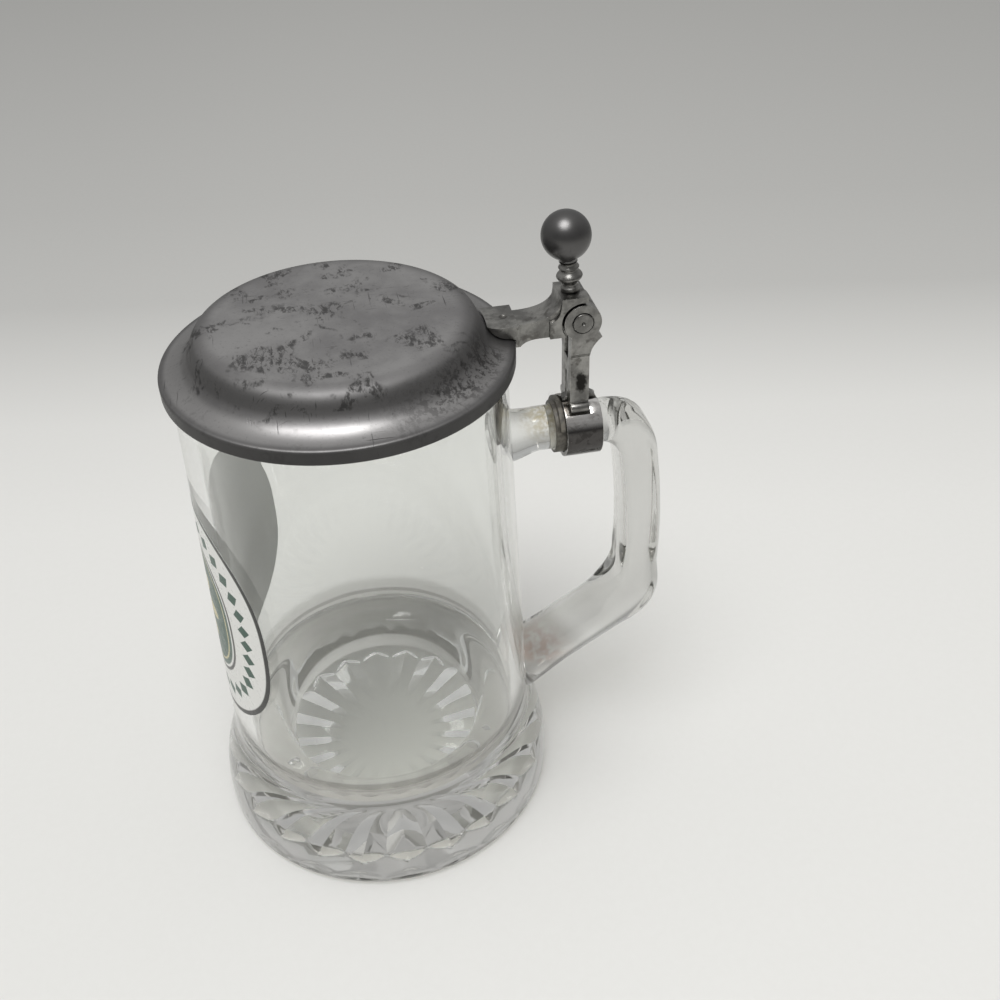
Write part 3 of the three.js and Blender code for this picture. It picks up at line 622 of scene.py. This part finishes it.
# The glass
def handle():
    upper_root = wall_outside(ARM_HEIGHT)
    arm_start = (upper_root - RIM_WALL / 2, ARM_HEIGHT - FLARE / 2)
    arm_clear = (upper_root + FLARE_LENGTH, ARM_HEIGHT)
    arm_end = (STRAP_TO + LINER_OVERHANG + CLAMP_CLEAR, ARM_HEIGHT)
    upper = Vector((arm_end[0] + UPPER_BEND, ARM_HEIGHT))
    lower = Vector((upper.x + GRIP_LEAN, LOWER_CORNER))
    face = Vector((wall_outside(LOWER_JOINT), LOWER_JOINT))
    grip_way, lower_way = (lower - upper).normalized(), (face - lower).normalized()
    grip_top, grip_bottom = upper + grip_way * UPPER_BEND, lower - grip_way * LOWER_BEND
    low_start, low_end = lower + lower_way * LOWER_BEND, face - lower_way * 2 * FLARE_LENGTH
    corner = bend(grip_bottom, lower, low_start, 32)
    curves = [
        line(arm_start, arm_clear, 14),
        line(arm_clear, arm_end, 10),
        bend(arm_end, upper, grip_top, 28),
        bend(grip_top, (grip_top + grip_bottom) / 2 + Vector((2 * GRIP_BOW, 0)), grip_bottom, 24),
        corner,
        line(low_start, low_end, 10),
        line(low_end, face + lower_way * LOWER_THICK / 2, 16),
    ]
    # Thickness, width and squareness of the section, from 2 for an ellipse up
    arm = (2 * ARM_RADIUS, 2 * ARM_RADIUS, 2)
    grip = (GRIP_THICK, GRIP_WIDTH, GRIP_SQUARENESS)
    low_arm = (LOWER_THICK, LOWER_WIDTH, 2)
    joint, low_joint = [(thick + FLARE, wide + FLARE, 2) for thick, wide, _ in (arm, low_arm)]
    stops = [joint, arm, arm, grip, grip, low_arm, low_arm, low_joint]
    sides = 64
    bm = bmesh.new()
    rings = []
    for n, curve in enumerate(curves):
        for k in range(1 if n else 0, len(curve)):
            share = k / (len(curve) - 1)
            ease = share * share * (3 - 2 * share)
            thick, wide, power = [a + (b - a) * ease for a, b in zip(stops[n], stops[n + 1])]
            before, after = curve[max(k - 1, 0)], curve[min(k + 1, len(curve) - 1)]
            way = (Vector(after) - Vector(before)).normalized()
            fill = CORNER_FILL * (4 * share * (1 - share)) ** 2 if curve is corner else 0
            ring = []
            for j in range(sides):
                turn = 2 * math.pi * j / sides
                across = wide / 2 * math.copysign(abs(math.cos(turn)) ** (2 / power), math.cos(turn))
                out = thick / 2 * math.copysign(abs(math.sin(turn)) ** (2 / power), math.sin(turn))
                out += max(math.sin(turn), 0) * fill
                x, z = curve[k]
                ring.append(bm.verts.new(Vector((x - way.y * out, across, z + way.x * out)) * MM))
            rings.append(ring)
    skinned(bm, rings)
    bm.faces.new(rings[0])
    bm.faces.new(rings[-1])
    return placed("handle", bm)


def star_depth(radius, turn):
    """Depth of the pressed star: V-shaped rays with scalloped ends, and short flutes at the rim."""
    def eased_share(value):
        share = max(min(value, 1), 0)
        return share * share * (3 - 2 * share)

    across = 1 - abs((STAR_RAYS * turn / math.pi + 1) % 2 - 1)
    ray_end = RAY_TO - RAY_SCALLOP * (1 - across)
    flute_start = FLUTE_FROM + FLUTE_SCALLOP * (1 - across)
    rise = min(max((radius - RAY_FROM) / RAY_RISE, 0), 1)
    ray = RAY_DEPTH * rise * eased_share((ray_end - radius) / RAY_FALL)
    flute = FLUTE_DEPTH * eased_share((radius - flute_start) / FLUTE_RISE)
    flute *= eased_share((FLUTE_TO - radius) / FLUTE_FALL)
    return across * (ray + flute)


def star_underside():
    """One sector of the underside, set round the middle by a node tree."""
    fine = 90
    radii = [0, 5, 9] + [RAY_FROM + (FLUTE_TO - RAY_FROM) * i / fine for i in range(fine + 1)]
    radii.append(FOOT_RADIUS - FOOT_EDGE)
    bm = bmesh.new()
    rings = []
    for radius in radii:
        ring = []
        for i in range(RAY_STEPS + 1 if radius else 1):
            turn = 2 * math.pi / STAR_RAYS * (i / RAY_STEPS - 0.5)
            point = (radius * math.cos(turn), radius * math.sin(turn), star_depth(radius, turn))
            ring.append(bm.verts.new(Vector(point) * MM))
        rings.append(ring)
    for inner, outer in zip(rings, rings[1:]):
        for i in range(RAY_STEPS):
            corners = [inner[i % len(inner)], outer[i], outer[i + 1], inner[(i + 1) % len(inner)]]
            bm.faces.new(list(dict.fromkeys(corners)))
    sector = placed("sector", bm)
    tree = bpy.data.node_groups.new("star_rays", "GeometryNodeTree")
    tree.interface.new_socket("Geometry", in_out="INPUT", socket_type="NodeSocketGeometry")
    shape = tree.interface.new_socket("Sector", in_out="INPUT", socket_type="NodeSocketObject")
    count = tree.interface.new_socket("Rays", in_out="INPUT", socket_type="NodeSocketInt")
    tree.interface.new_socket("Geometry", in_out="OUTPUT", socket_type="NodeSocketGeometry")
    given = tree.nodes.new("NodeGroupInput").outputs
    points = node(tree, "GeometryNodePoints", {"Count": given["Rays"]})
    step = node(tree, "ShaderNodeMath", {0: 2 * math.pi, 1: given["Rays"]}, operation="DIVIDE").outputs[0]
    order = tree.nodes.new("GeometryNodeInputIndex").outputs[0]
    turn = node(tree, "ShaderNodeMath", {0: order, 1: step}, operation="MULTIPLY").outputs[0]
    about = node(tree, "ShaderNodeCombineXYZ", {"Z": turn}).outputs[0]
    source = node(tree, "GeometryNodeObjectInfo", {"Object": given["Sector"]})
    copies = node(tree, "GeometryNodeInstanceOnPoints", {
        "Points": points.outputs[0], "Instance": source.outputs["Geometry"], "Rotation": about})
    real = node(tree, "GeometryNodeRealizeInstances", {0: copies.outputs[0]})
    glazed = node(tree, "GeometryNodeSetMaterial", {"Geometry": real.outputs[0], "Material": glass})
    shown = tree.nodes.new("NodeGroupOutput")
    tree.links.new(glazed.outputs[0], shown.inputs[0])
    star = turned("star", [(0, 0), (1, 0), (0, 1)], sides=3)
    step = star.modifiers.new("rays", "NODES")
    step.node_group = tree
    step[shape.identifier] = sector
    step[count.identifier] = STAR_RAYS
    settled(star)
    bpy.data.objects.remove(sector)
    return star


def glass_mug():
    rim = RIM_WALL / 2
    middle = (FOOT_BAND + WAIST_HEIGHT) / 2
    outside = joined(
        arc(FOOT_RADIUS - FOOT_EDGE, FOOT_EDGE, FOOT_EDGE, -90, 0, 8),
        ogee((FOOT_RADIUS, FOOT_BAND), (FOOT_RADIUS, middle),
             (WAIST_RADIUS + WAIST_LEAN, WAIST_HEIGHT - WAIST_DROP), (WAIST_RADIUS, WAIST_HEIGHT), 30),
        line((WAIST_RADIUS, WAIST_HEIGHT), (RIM_RADIUS, MUG_HEIGHT - rim), 30),
        arc(RIM_CROWN, MUG_HEIGHT - rim, rim, 0, 90, 12),
        [(0, MUG_HEIGHT)],
    )
    bowl_wall = wall_inside(BOWL_TOP)
    inside = joined(
        line((0, FLOOR_HEIGHT), (FLOOR_RADIUS, FLOOR_HEIGHT), 6),
        ogee((FLOOR_RADIUS, FLOOR_HEIGHT), (FLOOR_RADIUS + BOWL_LEAN, BOWL_TOP),
             (bowl_wall, FLOOR_HEIGHT + BOWL_RISE / 2), (bowl_wall, BOWL_TOP), 36),
        line((bowl_wall, BOWL_TOP), (RIM_CROWN - rim, MUG_HEIGHT - rim), 30),
        arc(RIM_CROWN, MUG_HEIGHT - rim, rim, 180, 90, 12),
        [(RIM_CROWN, MUG_HEIGHT + RIM_WALL), (0, MUG_HEIGHT + RIM_WALL)],
    )
    bm = bmesh.new()
    for part in (star_underside(), turned("wall", outside, sides=STAR_RAYS * RAY_STEPS)):
        bm.from_mesh(part.data)
        bpy.data.objects.remove(part)
    bmesh.ops.remove_doubles(bm, verts=bm.verts, dist=0.002 * MM)
    mug = placed("glass_body", bm)
    added(mug, handle())
    cut(mug, turned("inside", inside, sides=192))
    return shaded(mug, sharp_above=32)


# The lid and its arm
def lid_outline(inset):
    steps = 10
    radius, edge = LID_RADIUS - inset, BRIM_EDGE - inset
    foot_x = DOME_FOOT - inset
    foot_z = edge + BRIM_SLOPE * (radius - foot_x)
    top_x, top_z = foot_x - DOME_DRAFT, foot_z + DOME_HEIGHT
    length = math.hypot(DOME_DRAFT, DOME_HEIGHT)
    wall_x, wall_z = -DOME_DRAFT / length, DOME_HEIGHT / length
    foot_out = (foot_x + DOME_FOOT_ROUND, foot_z - BRIM_SLOPE * DOME_FOOT_ROUND)
    foot_up = (foot_x + wall_x * DOME_FOOT_ROUND, foot_z + wall_z * DOME_FOOT_ROUND)
    top_down = (top_x - wall_x * DOME_SHOULDER_ROUND, top_z - wall_z * DOME_SHOULDER_ROUND)
    top_in = (top_x - DOME_SHOULDER_ROUND, top_z + DOME_CROWN / 2)
    brim = (radius - BRIM_ROUND, edge + BRIM_SLOPE * BRIM_ROUND)
    return joined(
        line((radius, BRIM_EDGE - SKIRT_HEIGHT), (radius, edge - BRIM_ROUND), 4),
        bend((radius, edge - BRIM_ROUND), (radius, edge), brim, steps),
        line(brim, foot_out, 4),
        bend(foot_out, (foot_x, foot_z), foot_up, steps),
        line(foot_up, top_down, 3),
        bend(top_down, (top_x, top_z), top_in, steps),
        line(top_in, (0, top_z + DOME_CROWN), 10),
    )


def lid():
    profile = lid_outline(LID_SHEET)[::-1] + lid_outline(0)
    piece = turned("lid_shell", profile, sides=192)
    eased(piece, width=0.25)
    return shaded(piece, sharp_above=40)


def lid_arm():
    tongue_from, tongue_to = DOME_FOOT - TONGUE_TUCK, LID_RADIUS + TONGUE_STEP
    side = TONGUE_WIDTH / 2
    far, near = TONGUE_FAR_ROUND, TONGUE_NEAR_ROUND
    plan = joined(
        [(tongue_to, -side), (tongue_to, side)],
        bend((tongue_from + far, side), (tongue_from, side), (tongue_from, side - far), 6),
        bend((tongue_from, near - side), (tongue_from, -side), (tongue_from + near, -side), 14),
    )
    tongue_top = LID_ARM_TOP + TONGUE_STEP
    lip_x, lip = LID_RADIUS + LID_ARM_LIP_LENGTH / 4, LID_ARM_UNDER - LID_ARM_LIP
    arm_side = joined(
        [(DOME_FOOT, lip)],
        bend((lip_x, lip), (lip_x + LID_ARM_LIP_LENGTH / 4, LID_ARM_UNDER),
             (lip_x + LID_ARM_LIP_LENGTH, LID_ARM_UNDER), 12),
        [(BLOCK_FRONT, LID_ARM_UNDER)],
        bend((BLOCK_FRONT, BLOCK_TOP), (BLOCK_FRONT, LID_ARM_TOP),
             (BLOCK_FRONT - LID_ARM_HOLLOW, LID_ARM_TOP), 20),
        [(DOME_FOOT, LID_ARM_TOP)],
    )
    block_side = joined(
        [(BLOCK_ROOT, LID_ARM_UNDER), (HINGE_X - 0.75 * EAR_RADIUS, LID_ARM_UNDER), (HINGE_X, HINGE_Z)],
        [(BLOCK_BACK, HINGE_Z + EAR_RADIUS / 2), (BLOCK_BACK, BLOCK_TOP)],
        bend((BLOCK_FRONT, BLOCK_TOP), (BLOCK_FRONT, LID_ARM_TOP), (BLOCK_ROOT, LID_ARM_TOP), 14),
    )
    half, wide = KNUCKLE / 2, BLOCK_WIDTH
    block = prism("block", block_side, "Y", -wide / 2, wide / 2)
    cut(block, hinge_rod(EAR_SWEEP, half, wide),
        hinge_rod(EAR_SWEEP, -wide, -half))
    added(block, prism("web", block_side, "Y", -half, half),
          hinge_rod(EAR_RADIUS, -half, half))
    outline = lid_outline(-SOLDER_GAP)
    filled = turned("filled", [(0, 0), (outline[0][0], 0)] + outline, sides=192)
    piece = prism("lid_bracket", plan, "Z", BRIM_EDGE - LID_SHEET, tongue_top)
    added(piece, prism("arm", arm_side, "Y", -LID_ARM_WIDTH / 2, LID_ARM_WIDTH / 2))
    cut(piece, filled)
    added(piece, block)
    socket = circle(0, 0, SPIGOT_RADIUS + SOCKET_FIT, 48)
    hole = prism("socket", socket, "Z", -SPIGOT_DEPTH - SHOULDER_GAP, SPIGOT_DEPTH)
    hole.data.transform(thumb_place(MM))
    r = DIMPLE_ROUND
    dimple = turned("dimple", [(0, 0)] + arc(0, r, r, -85, 0, 10) + [(0, r)], sides=40)
    dimple.data.transform(Matrix.Translation(Vector((DIMPLE_X, 0, tongue_top - DIMPLE_DEPTH)) * MM))
    bore = hinge_rod(PIN_RADIUS + PIN_FIT, -wide, wide)
    cut(piece, bore, hole, dimple)
    eased(piece, width=0.3)
    return shaded(piece, sharp_above=35)


def thumb_place(unit):
    at = Matrix.Translation(Vector((THUMB_X, 0, BLOCK_TOP)) * unit)
    return at @ Matrix.Rotation(-math.radians(THUMB_LEAN), 4, "Y")


def thumb_stem():
    h = STEM_HEIGHT
    shape = spline([
        (STEM_FOOT, SHOULDER_GAP + 0.1 * h), (STEM_NECK, 0.27 * h), (STEM_BEAD, 0.5 * h),
        (STEM_RING - 0.4, 0.71 * h), (STEM_RING, 0.81 * h), (STEM_TOP, 0.92 * h), (BALL_NECK, h)], 10)
    profile = joined(
        [(0, -SPIGOT_DEPTH), (SPIGOT_RADIUS, -SPIGOT_DEPTH)],
        [(SPIGOT_RADIUS, SHOULDER_GAP), (STEM_FOOT, SHOULDER_GAP)],
        shape,
        [(BALL_SPIGOT_RADIUS, h), (BALL_SPIGOT_RADIUS, h + BALL_SPIGOT_LENGTH)],
        [(0, h + BALL_SPIGOT_LENGTH)],
    )
    return shaded(turned("stem", profile, sides=96, place=thumb_place(1)), sharp_above=40)


def thumb_ball():
    bottom = STEM_HEIGHT + SHOULDER_GAP
    bore, bore_top = BALL_SPIGOT_RADIUS + SOCKET_FIT, STEM_HEIGHT + BALL_SPIGOT_LENGTH + SHOULDER_GAP
    start = math.asin(BALL_FLARE / BALL_RADIUS)
    centre = bottom + BALL_NECK_HEIGHT + BALL_RADIUS * math.cos(start)
    profile = joined(
        [(0, bore_top), (bore, bore_top), (bore, bottom), (BALL_NECK, bottom)],
        bend((BALL_NECK, bottom), (BALL_NECK, bottom + BALL_NECK_HEIGHT * 0.7),
             (BALL_FLARE, bottom + BALL_NECK_HEIGHT), 5),
        arc(0, centre, BALL_RADIUS, math.degrees(start) - 90, 90, 60),
    )
    profile[-1] = (0, centre + BALL_RADIUS)
    return shaded(turned("ball", profile, sides=128, place=thumb_place(1)), sharp_above=40)


# The post, pin and clamp
def hinge_post():
    half = POST_THICK / 2
    left, right = POST_X - half, POST_X + half
    first = 180 + math.degrees(math.acos((HINGE_X - left) / EAR_RADIUS))
    tip = (HINGE_X + SPUR_REACH, HINGE_Z - SPUR_DROP)
    side = joined(
        [(left, POST_FOOT)],
        arc(HINGE_X, HINGE_Z, EAR_RADIUS, first, SPUR_ANGLE, 72),
        bend(tip, (right, tip[1] - SPUR_REACH / 2), (right, HINGE_Z - SPUR_ROOT), 12),
        [(right, POST_FOOT)],
    )
    neck, top, bottom = HINGE_Z - POST_NECK, HINGE_Z + 2 * EAR_RADIUS, HINGE_Z - SLOT_DROP
    post_side, slot_side = POST_WIDTH / 2, SLOT / 2
    waist = neck - POST_CHAMFER
    right_half = [(post_side, POST_FOOT), (post_side, waist), (EAR_FACE, neck), (EAR_FACE, top)]
    front = right_half + [(-y, z) for y, z in right_half[::-1]]
    through = 12
    piece = prism("post", side, "Y", -EAR_FACE, EAR_FACE)
    combined(piece, prism("front", front, "X", HINGE_X - through, HINGE_X + through), "INTERSECT")
    slot = [(-slot_side, bottom), (slot_side, bottom), (slot_side, top), (-slot_side, top)]
    clear, deep = left - POCKET_DEPTH, left + POCKET_DEPTH
    low, high = POST_FOOT + POCKET_FROM, POST_FOOT + POCKET_FROM + POCKET_LENGTH
    pocket = [(clear, low), (deep, low), (deep, high), (clear, high)]
    cut(piece, prism("slot", slot, "X", HINGE_X - through, HINGE_X + through),
        prism("pocket", pocket, "Y", -POCKET_WIDTH / 2, POCKET_WIDTH / 2))
    rib_from, rib_to = STRAP_MIDDLE - RIB_LENGTH / 2, STRAP_MIDDLE + RIB_LENGTH / 2
    round_z = POST_FOOT + RIB_RISE - RIB_ROUND
    rib_side = joined(
        [(rib_from, ARM_HEIGHT), (rib_to, ARM_HEIGHT)],
        arc(rib_to - RIB_ROUND, round_z, RIB_ROUND, 0, 90, 10),
        arc(rib_from + RIB_ROUND, round_z, RIB_ROUND, 90, 180, 10),
    )
    rib = prism("rib", rib_side, "Y", -RIB_WIDTH / 2, RIB_WIDTH / 2)
    within = circle(0, ARM_HEIGHT, STRAP_INNER, 96)
    cut(rib, prism("within", within, "X", HINGE_X - through, HINGE_X + through))
    added(piece, rib)
    reach = STRAP_OUTER + TOE_STAND_OFF
    for sign in (-1, 1):
        y = sign * reach * math.sin(math.radians(TOE_ANGLE))
        z = ARM_HEIGHT + reach * math.cos(math.radians(TOE_ANGLE))
        ring = circle(y, z, TOE_RADIUS, 48)
        added(piece, prism("toe", ring, "X", POST_X - TOE_LENGTH / 2, POST_X + TOE_LENGTH / 2))
        inner, outer = sorted((sign * (EAR_FACE - PIN_RECESS), sign * 2 * EAR_FACE))
        cut(piece, hinge_rod(PIN_HEAD_RADIUS + PIN_FIT, inner, outer))
    cut(piece, hinge_rod(PIN_RADIUS + PIN_FIT, -2 * EAR_FACE, 2 * EAR_FACE))
    eased(piece, width=0.28)
    return shaded(piece, sharp_above=35)


def hinge_pin():
    seat = EAR_FACE - PIN_RECESS + PIN_FIT
    end, r, mark = seat + PIN_HEAD_HEIGHT, PIN_HEAD_ROUND, PIN_MARK
    half = joined(
        [(PIN_RADIUS, 0), (PIN_RADIUS, seat), (PIN_HEAD_RADIUS, seat)],
        arc(PIN_HEAD_RADIUS - r, end - r, r, 0, 90, 5),
        [(mark, end), (mark * 0.5, end - mark * 0.6), (0, end - mark)],
    )
    profile = [(radius, -height) for radius, height in half[:0:-1]] + half[1:]
    lay = Matrix.Translation((HINGE_X, 0, HINGE_Z)) @ Matrix.Rotation(math.pi / 2, 4, "X")
    return shaded(turned("pin", profile, sides=96, place=lay), sharp_above=40)


def ring_sector(inner, outer, start, end, steps=120):
    return joined(
        arc(0, ARM_HEIGHT, outer, 90 - start, 90 - end, steps),
        arc(0, ARM_HEIGHT, inner, 90 - end, 90 - start, steps),
    )


def clamp_strap():
    ring = ring_sector(STRAP_INNER, STRAP_OUTER, STRAP_END_ANGLE, 360 - STRAP_END_ANGLE)
    piece = prism("strap", ring, "X", STRAP_FROM, STRAP_TO)
    sunk = math.sqrt(TOE_RADIUS ** 2 - TOE_STAND_OFF ** 2)
    opening = math.degrees((sunk + 2 * TOE_GAP) / STRAP_OUTER)
    length = TOE_LENGTH / 2 + TOE_GAP
    for angle in (TOE_ANGLE, -TOE_ANGLE):
        window = ring_sector(LINER_INNER, STRAP_OUTER + TOE_RADIUS, angle - opening, angle + opening, 12)
        cut(piece, prism("window", window, "X", POST_X - length, POST_X + length))
    eased(piece, width=0.18)
    return shaded(piece, sharp_above=35)


def clamp_liner():
    slit = math.degrees(LINER_SLIT / LINER_INNER / 2)
    shoulder_to = STRAP_FROM - CLAMP_FIT
    shoulder_from = shoulder_to - SHOULDER_WIDTH
    sleeve = ring_sector(LINER_INNER, LINER_OUTER, slit - 180, 180 - slit)
    piece = prism("liner", sleeve, "X", shoulder_from - LINER_FRONT, STRAP_TO + LINER_OVERHANG)
    shoulder = ring_sector(
        LINER_INNER, LINER_OUTER + SHOULDER_RISE, -SHOULDER_ANGLE, SHOULDER_ANGLE, 60)
    added(piece, prism("shoulder", shoulder, "X", shoulder_from, shoulder_to))
    eased(piece, width=0.15)
    return shaded(piece, sharp_above=35)


# A fired print on the glass, opposite the handle
PRINT_TURN, PRINT_HEIGHT = 178, 80
PRINT_HALF_WIDTH, PRINT_HALF_HEIGHT, PRINT_POWER = 37.8, 35, 2.5
PRINT_GAP, PRINT_THICK = 0.03, 0.05


def oval_print():
    rings, sides = 40, 160
    bm = bmesh.new()
    layer = bm.loops.layers.uv.new("print")
    flat = {}

    def surface(lift):
        made = []
        for i in range(rings + 1):
            share = i / rings
            ring = []
            for j in range(sides if i else 1):
                turn = 2 * math.pi * j / sides
                c, s = math.cos(turn), math.sin(turn)
                across = share * PRINT_HALF_WIDTH * math.copysign(abs(c) ** (2 / PRINT_POWER), c)
                up = share * PRINT_HALF_HEIGHT * math.copysign(abs(s) ** (2 / PRINT_POWER), s)
                z = PRINT_HEIGHT + up
                radius = wall_outside(z) + lift
                around = math.radians(PRINT_TURN) + across / wall_outside(PRINT_HEIGHT)
                point = Vector((radius * math.cos(around), radius * math.sin(around), z)) * MM
                vert = bm.verts.new(point)
                flat[vert] = (0.5 + across / PRINT_HALF_WIDTH / 2, 0.5 + up / PRINT_HALF_HEIGHT / 2)
                ring.append(vert)
            made.append(ring)
        return made

    back, front = surface(PRINT_GAP), surface(PRINT_GAP + PRINT_THICK)
    skinned(bm, front)
    faces_front = len(bm.faces)
    skinned(bm, back)
    skinned(bm, [back[-1], front[-1]])
    bm.faces.ensure_lookup_table()
    for n, face in enumerate(bm.faces):
        face.material_index = 0 if n < faces_front else 1
        for loop in face.loops:
            loop[layer].uv = flat[loop.vert]
    piece = placed("oval_print", bm)
    return shaded(piece, sharp_above=40)


def print_face():
    made, tree, shader, where = finish("print_face", ior=1.5)
    uv = node(tree, "ShaderNodeUVMap", uv_map="print").outputs[0]
    centred = node(tree, "ShaderNodeVectorMath", {0: uv, 1: (0.5, 0.5, 0)}, operation="SUBTRACT").outputs[0]
    x, y = [times(tree, part, 2.0) for part in split(tree, centred)[:2]]

    def power(value, exponent):
        return maths(tree, "POWER", maths(tree, "ABSOLUTE", value), exponent)

    oval = maths(tree, "ADD", power(x, PRINT_POWER), power(y, PRINT_POWER))
    oval = maths(tree, "POWER", oval, 1 / PRINT_POWER)
    span = maths(tree, "SQRT", maths(tree, "ADD", power(x, 2.0), power(y, 2.0)))
    turn = maths(tree, "ARCTAN2", y, x)

    def within(value, limit):
        softness = 0.006
        return ranged(tree, value, limit + softness, limit - softness)

    def band(low, high):
        return times(tree, outside_of(tree, within(oval, low)), within(oval, high))

    white, black = (0.80, 0.80, 0.77), (0.022, 0.022, 0.02)
    green, gold = (0.018, 0.075, 0.048), (0.62, 0.55, 0.30)
    # A row of small lozenges in the white band
    lozenges, band_middle, flatness = 36, 0.80, 13.0
    spoke = maths(tree, "PINGPONG", times(tree, turn, lozenges / math.pi), 1.0)
    offset = maths(tree, "ABSOLUTE", maths(tree, "SUBTRACT", oval, band_middle))
    lozenge = ranged(tree, maths(tree, "ADD", times(tree, offset, flatness), spoke), 0.86, 0.78)
    # A rosette of eight petals in the green field
    petal = maths(tree, "ABSOLUTE", maths(tree, "COSINE", times(tree, turn, 4.0)))
    edge = maths(tree, "ADD", times(tree, petal, 0.27), 0.14)
    vein = times(tree, edge, 0.55)
    rub = noise(tree, where, 500, 5, 0.7)
    tone = layered(
        tree, blended(tree, within(oval, 0.961), black, white),
        (band(0.62, 0.645), 1, black),
        (lozenge, 1, green),
        (within(oval, 0.6), 1, green),
        (band(0.545, 0.56), 1, gold),
        (within(maths(tree, "SUBTRACT", span, edge), 0), 1, gold),
        (within(maths(tree, "SUBTRACT", span, vein), 0), 1, green),
        (within(span, 0.08), 1, gold),
        (ranged(tree, rub, 0.62, 0.8), 0.4, white),
    )
    wired(tree, shader, tone, ranged(tree, rub, 0.3, 0.7, 0.22, 0.4, False))
    return made


def print_back():
    made, tree, shader, where = finish("print_back", ior=1.5)
    cloud = noise(tree, where, 260, 4, 0.6)
    tone = blended(tree, cloud, (0.86, 0.87, 0.85), (0.93, 0.93, 0.91))
    wired(tree, shader, tone, ranged(tree, cloud, 0.3, 0.7, 0.4, 0.55, False))
    return made


# Finishes, then the pieces on their bodies
glass = clear_glass()
pewter = dull_pewter()
casting = cast_pewter()
strip = bright_strap()
rubbed = rubbed_edge()
sleeve_finish = liner_sleeve()

PIECES = [
    (glass_mug, "glass_mug", "mug", "clear_glass", glass, None),
    (clamp_liner, "clamp_liner", "mug", "liner", sleeve_finish, sleeve_finish),
    (clamp_strap, "clamp_strap", "mug", "strap_metal", strip, rubbed),
    (hinge_post, "hinge_post", "mug", "cast_pewter", casting, rubbed),
    (hinge_pin, "hinge_pin", "mug", "cast_pewter", casting, None),
    (lid, "lid", "swinging_lid", "pewter", pewter, pewter),
    (lid_arm, "lid_arm", "swinging_lid", "cast_pewter", casting, rubbed),
    (thumb_stem, "thumb_stem", "swinging_lid", "cast_pewter", casting, None),
    (thumb_ball, "thumb_ball", "swinging_lid", "pewter", pewter, None),
]
for make, solid, body, slot, look, edge in PIECES:
    piece = make()
    if edge:
        piece.data.materials[0], piece.data.materials[1] = look, edge
    else:
        piece.data.materials.clear()
        piece.data.materials.append(look)
    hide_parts(solid)
    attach(piece, body)

badge = oval_print()
badge.data.materials.append(print_face())
badge.data.materials.append(print_back())
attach(badge, "mug")


# Floor, light and camera
def floor():
    made, tree, shader, where = finish("pale_paper", roughness=0.9)
    x, y, _ = split(tree, where)
    # Painted shade: the paper is painted greyer towards the back, and a little to the left, where less
    # light falls on it
    back = maths(tree, "ADD", times(tree, x, 0.18), times(tree, y, 0.98))
    stops = [(0.0, 0.72), (0.2, 0.72), (0.27, 0.68), (0.38, 0.485), (0.5, 0.46), (0.7, 0.46), (1.0, 0.47)]
    paper = graded(tree, ranged(tree, back, -0.1, 1.0, smooth=False), stops, (1, 0.995, 0.965))
    fibre = ranged(tree, noise(tree, where, 400, 4, 0.6), 0.3, 0.7)
    tone = layered(
        tree, paper,
        (fibre, 0.06, (0.6, 0.58, 0.55)),
        (zone(tree, x, 80, -160), 0.1, (0.3, 0.3, 0.295)),
    )
    tree.links.new(tone, shader.inputs["Base Color"])
    bm = bmesh.new()
    bmesh.ops.create_grid(bm, x_segments=8, y_segments=8, size=3)
    piece = placed("floor", bm)
    piece.data.transform(Matrix.Translation((0, 0, -0.2 * MM)))
    piece.data.materials.append(made)


def ceiling_lamp():
    data = bpy.data.lights.new("ceiling_lamp", "AREA")
    data.shape = "DISK"
    data.size = 0.85
    data.energy = 15.0
    place, aim = Vector((-0.22, -0.36, 1.38)), Vector((0.01, 0, 0.12))
    made = bpy.data.objects.new("ceiling_lamp", data)
    made.location = place
    made.rotation_euler = (aim - place).to_track_quat("-Z", "Y").to_euler()
    bpy.context.scene.collection.objects.link(made)


def studio():
    world = bpy.data.worlds.new("studio")
    bpy.context.scene.world = world
    world.use_nodes = True
    tree = world.node_tree
    way = tree.nodes.new("ShaderNodeTexCoord").outputs["Generated"]
    _, y, z = split(tree, way)
    # The room is lighter overhead, and darker on the side of the camera
    stops = [(0.0, 0.40), (0.35, 0.48), (0.62, 0.62), (0.86, 0.70), (1.0, 0.74)]
    walls = graded(tree, ranged(tree, z, 0.0, 1.0, smooth=False), stops, (1, 1, 0.99))
    tree.links.new(walls, tree.nodes["Background"].inputs["Color"])
    tree.links.new(ranged(tree, y, -0.6, 0.4, 0.6, 1.0), tree.nodes["Background"].inputs["Strength"])


def camera():
    data = bpy.data.cameras.new("camera")
    data.sensor_width = 36
    data.lens = 40.32
    data.clip_start = 0.01
    view = bpy.data.objects.new("camera", data)
    tilt, lean, turn = 52.5547, 1.4871, -11.6759
    aim = Euler([math.radians(angle) for angle in (tilt, lean, turn)])
    place = Vector((-6.3758, -243.4815, 284.229)) * MM
    view.matrix_world = Matrix.LocRotScale(place, aim, None)
    bpy.context.scene.collection.objects.link(view)
    bpy.context.scene.camera = view


floor()
studio()
ceiling_lamp()
camera()
bpy.context.scene.view_settings.view_transform = "Standard"
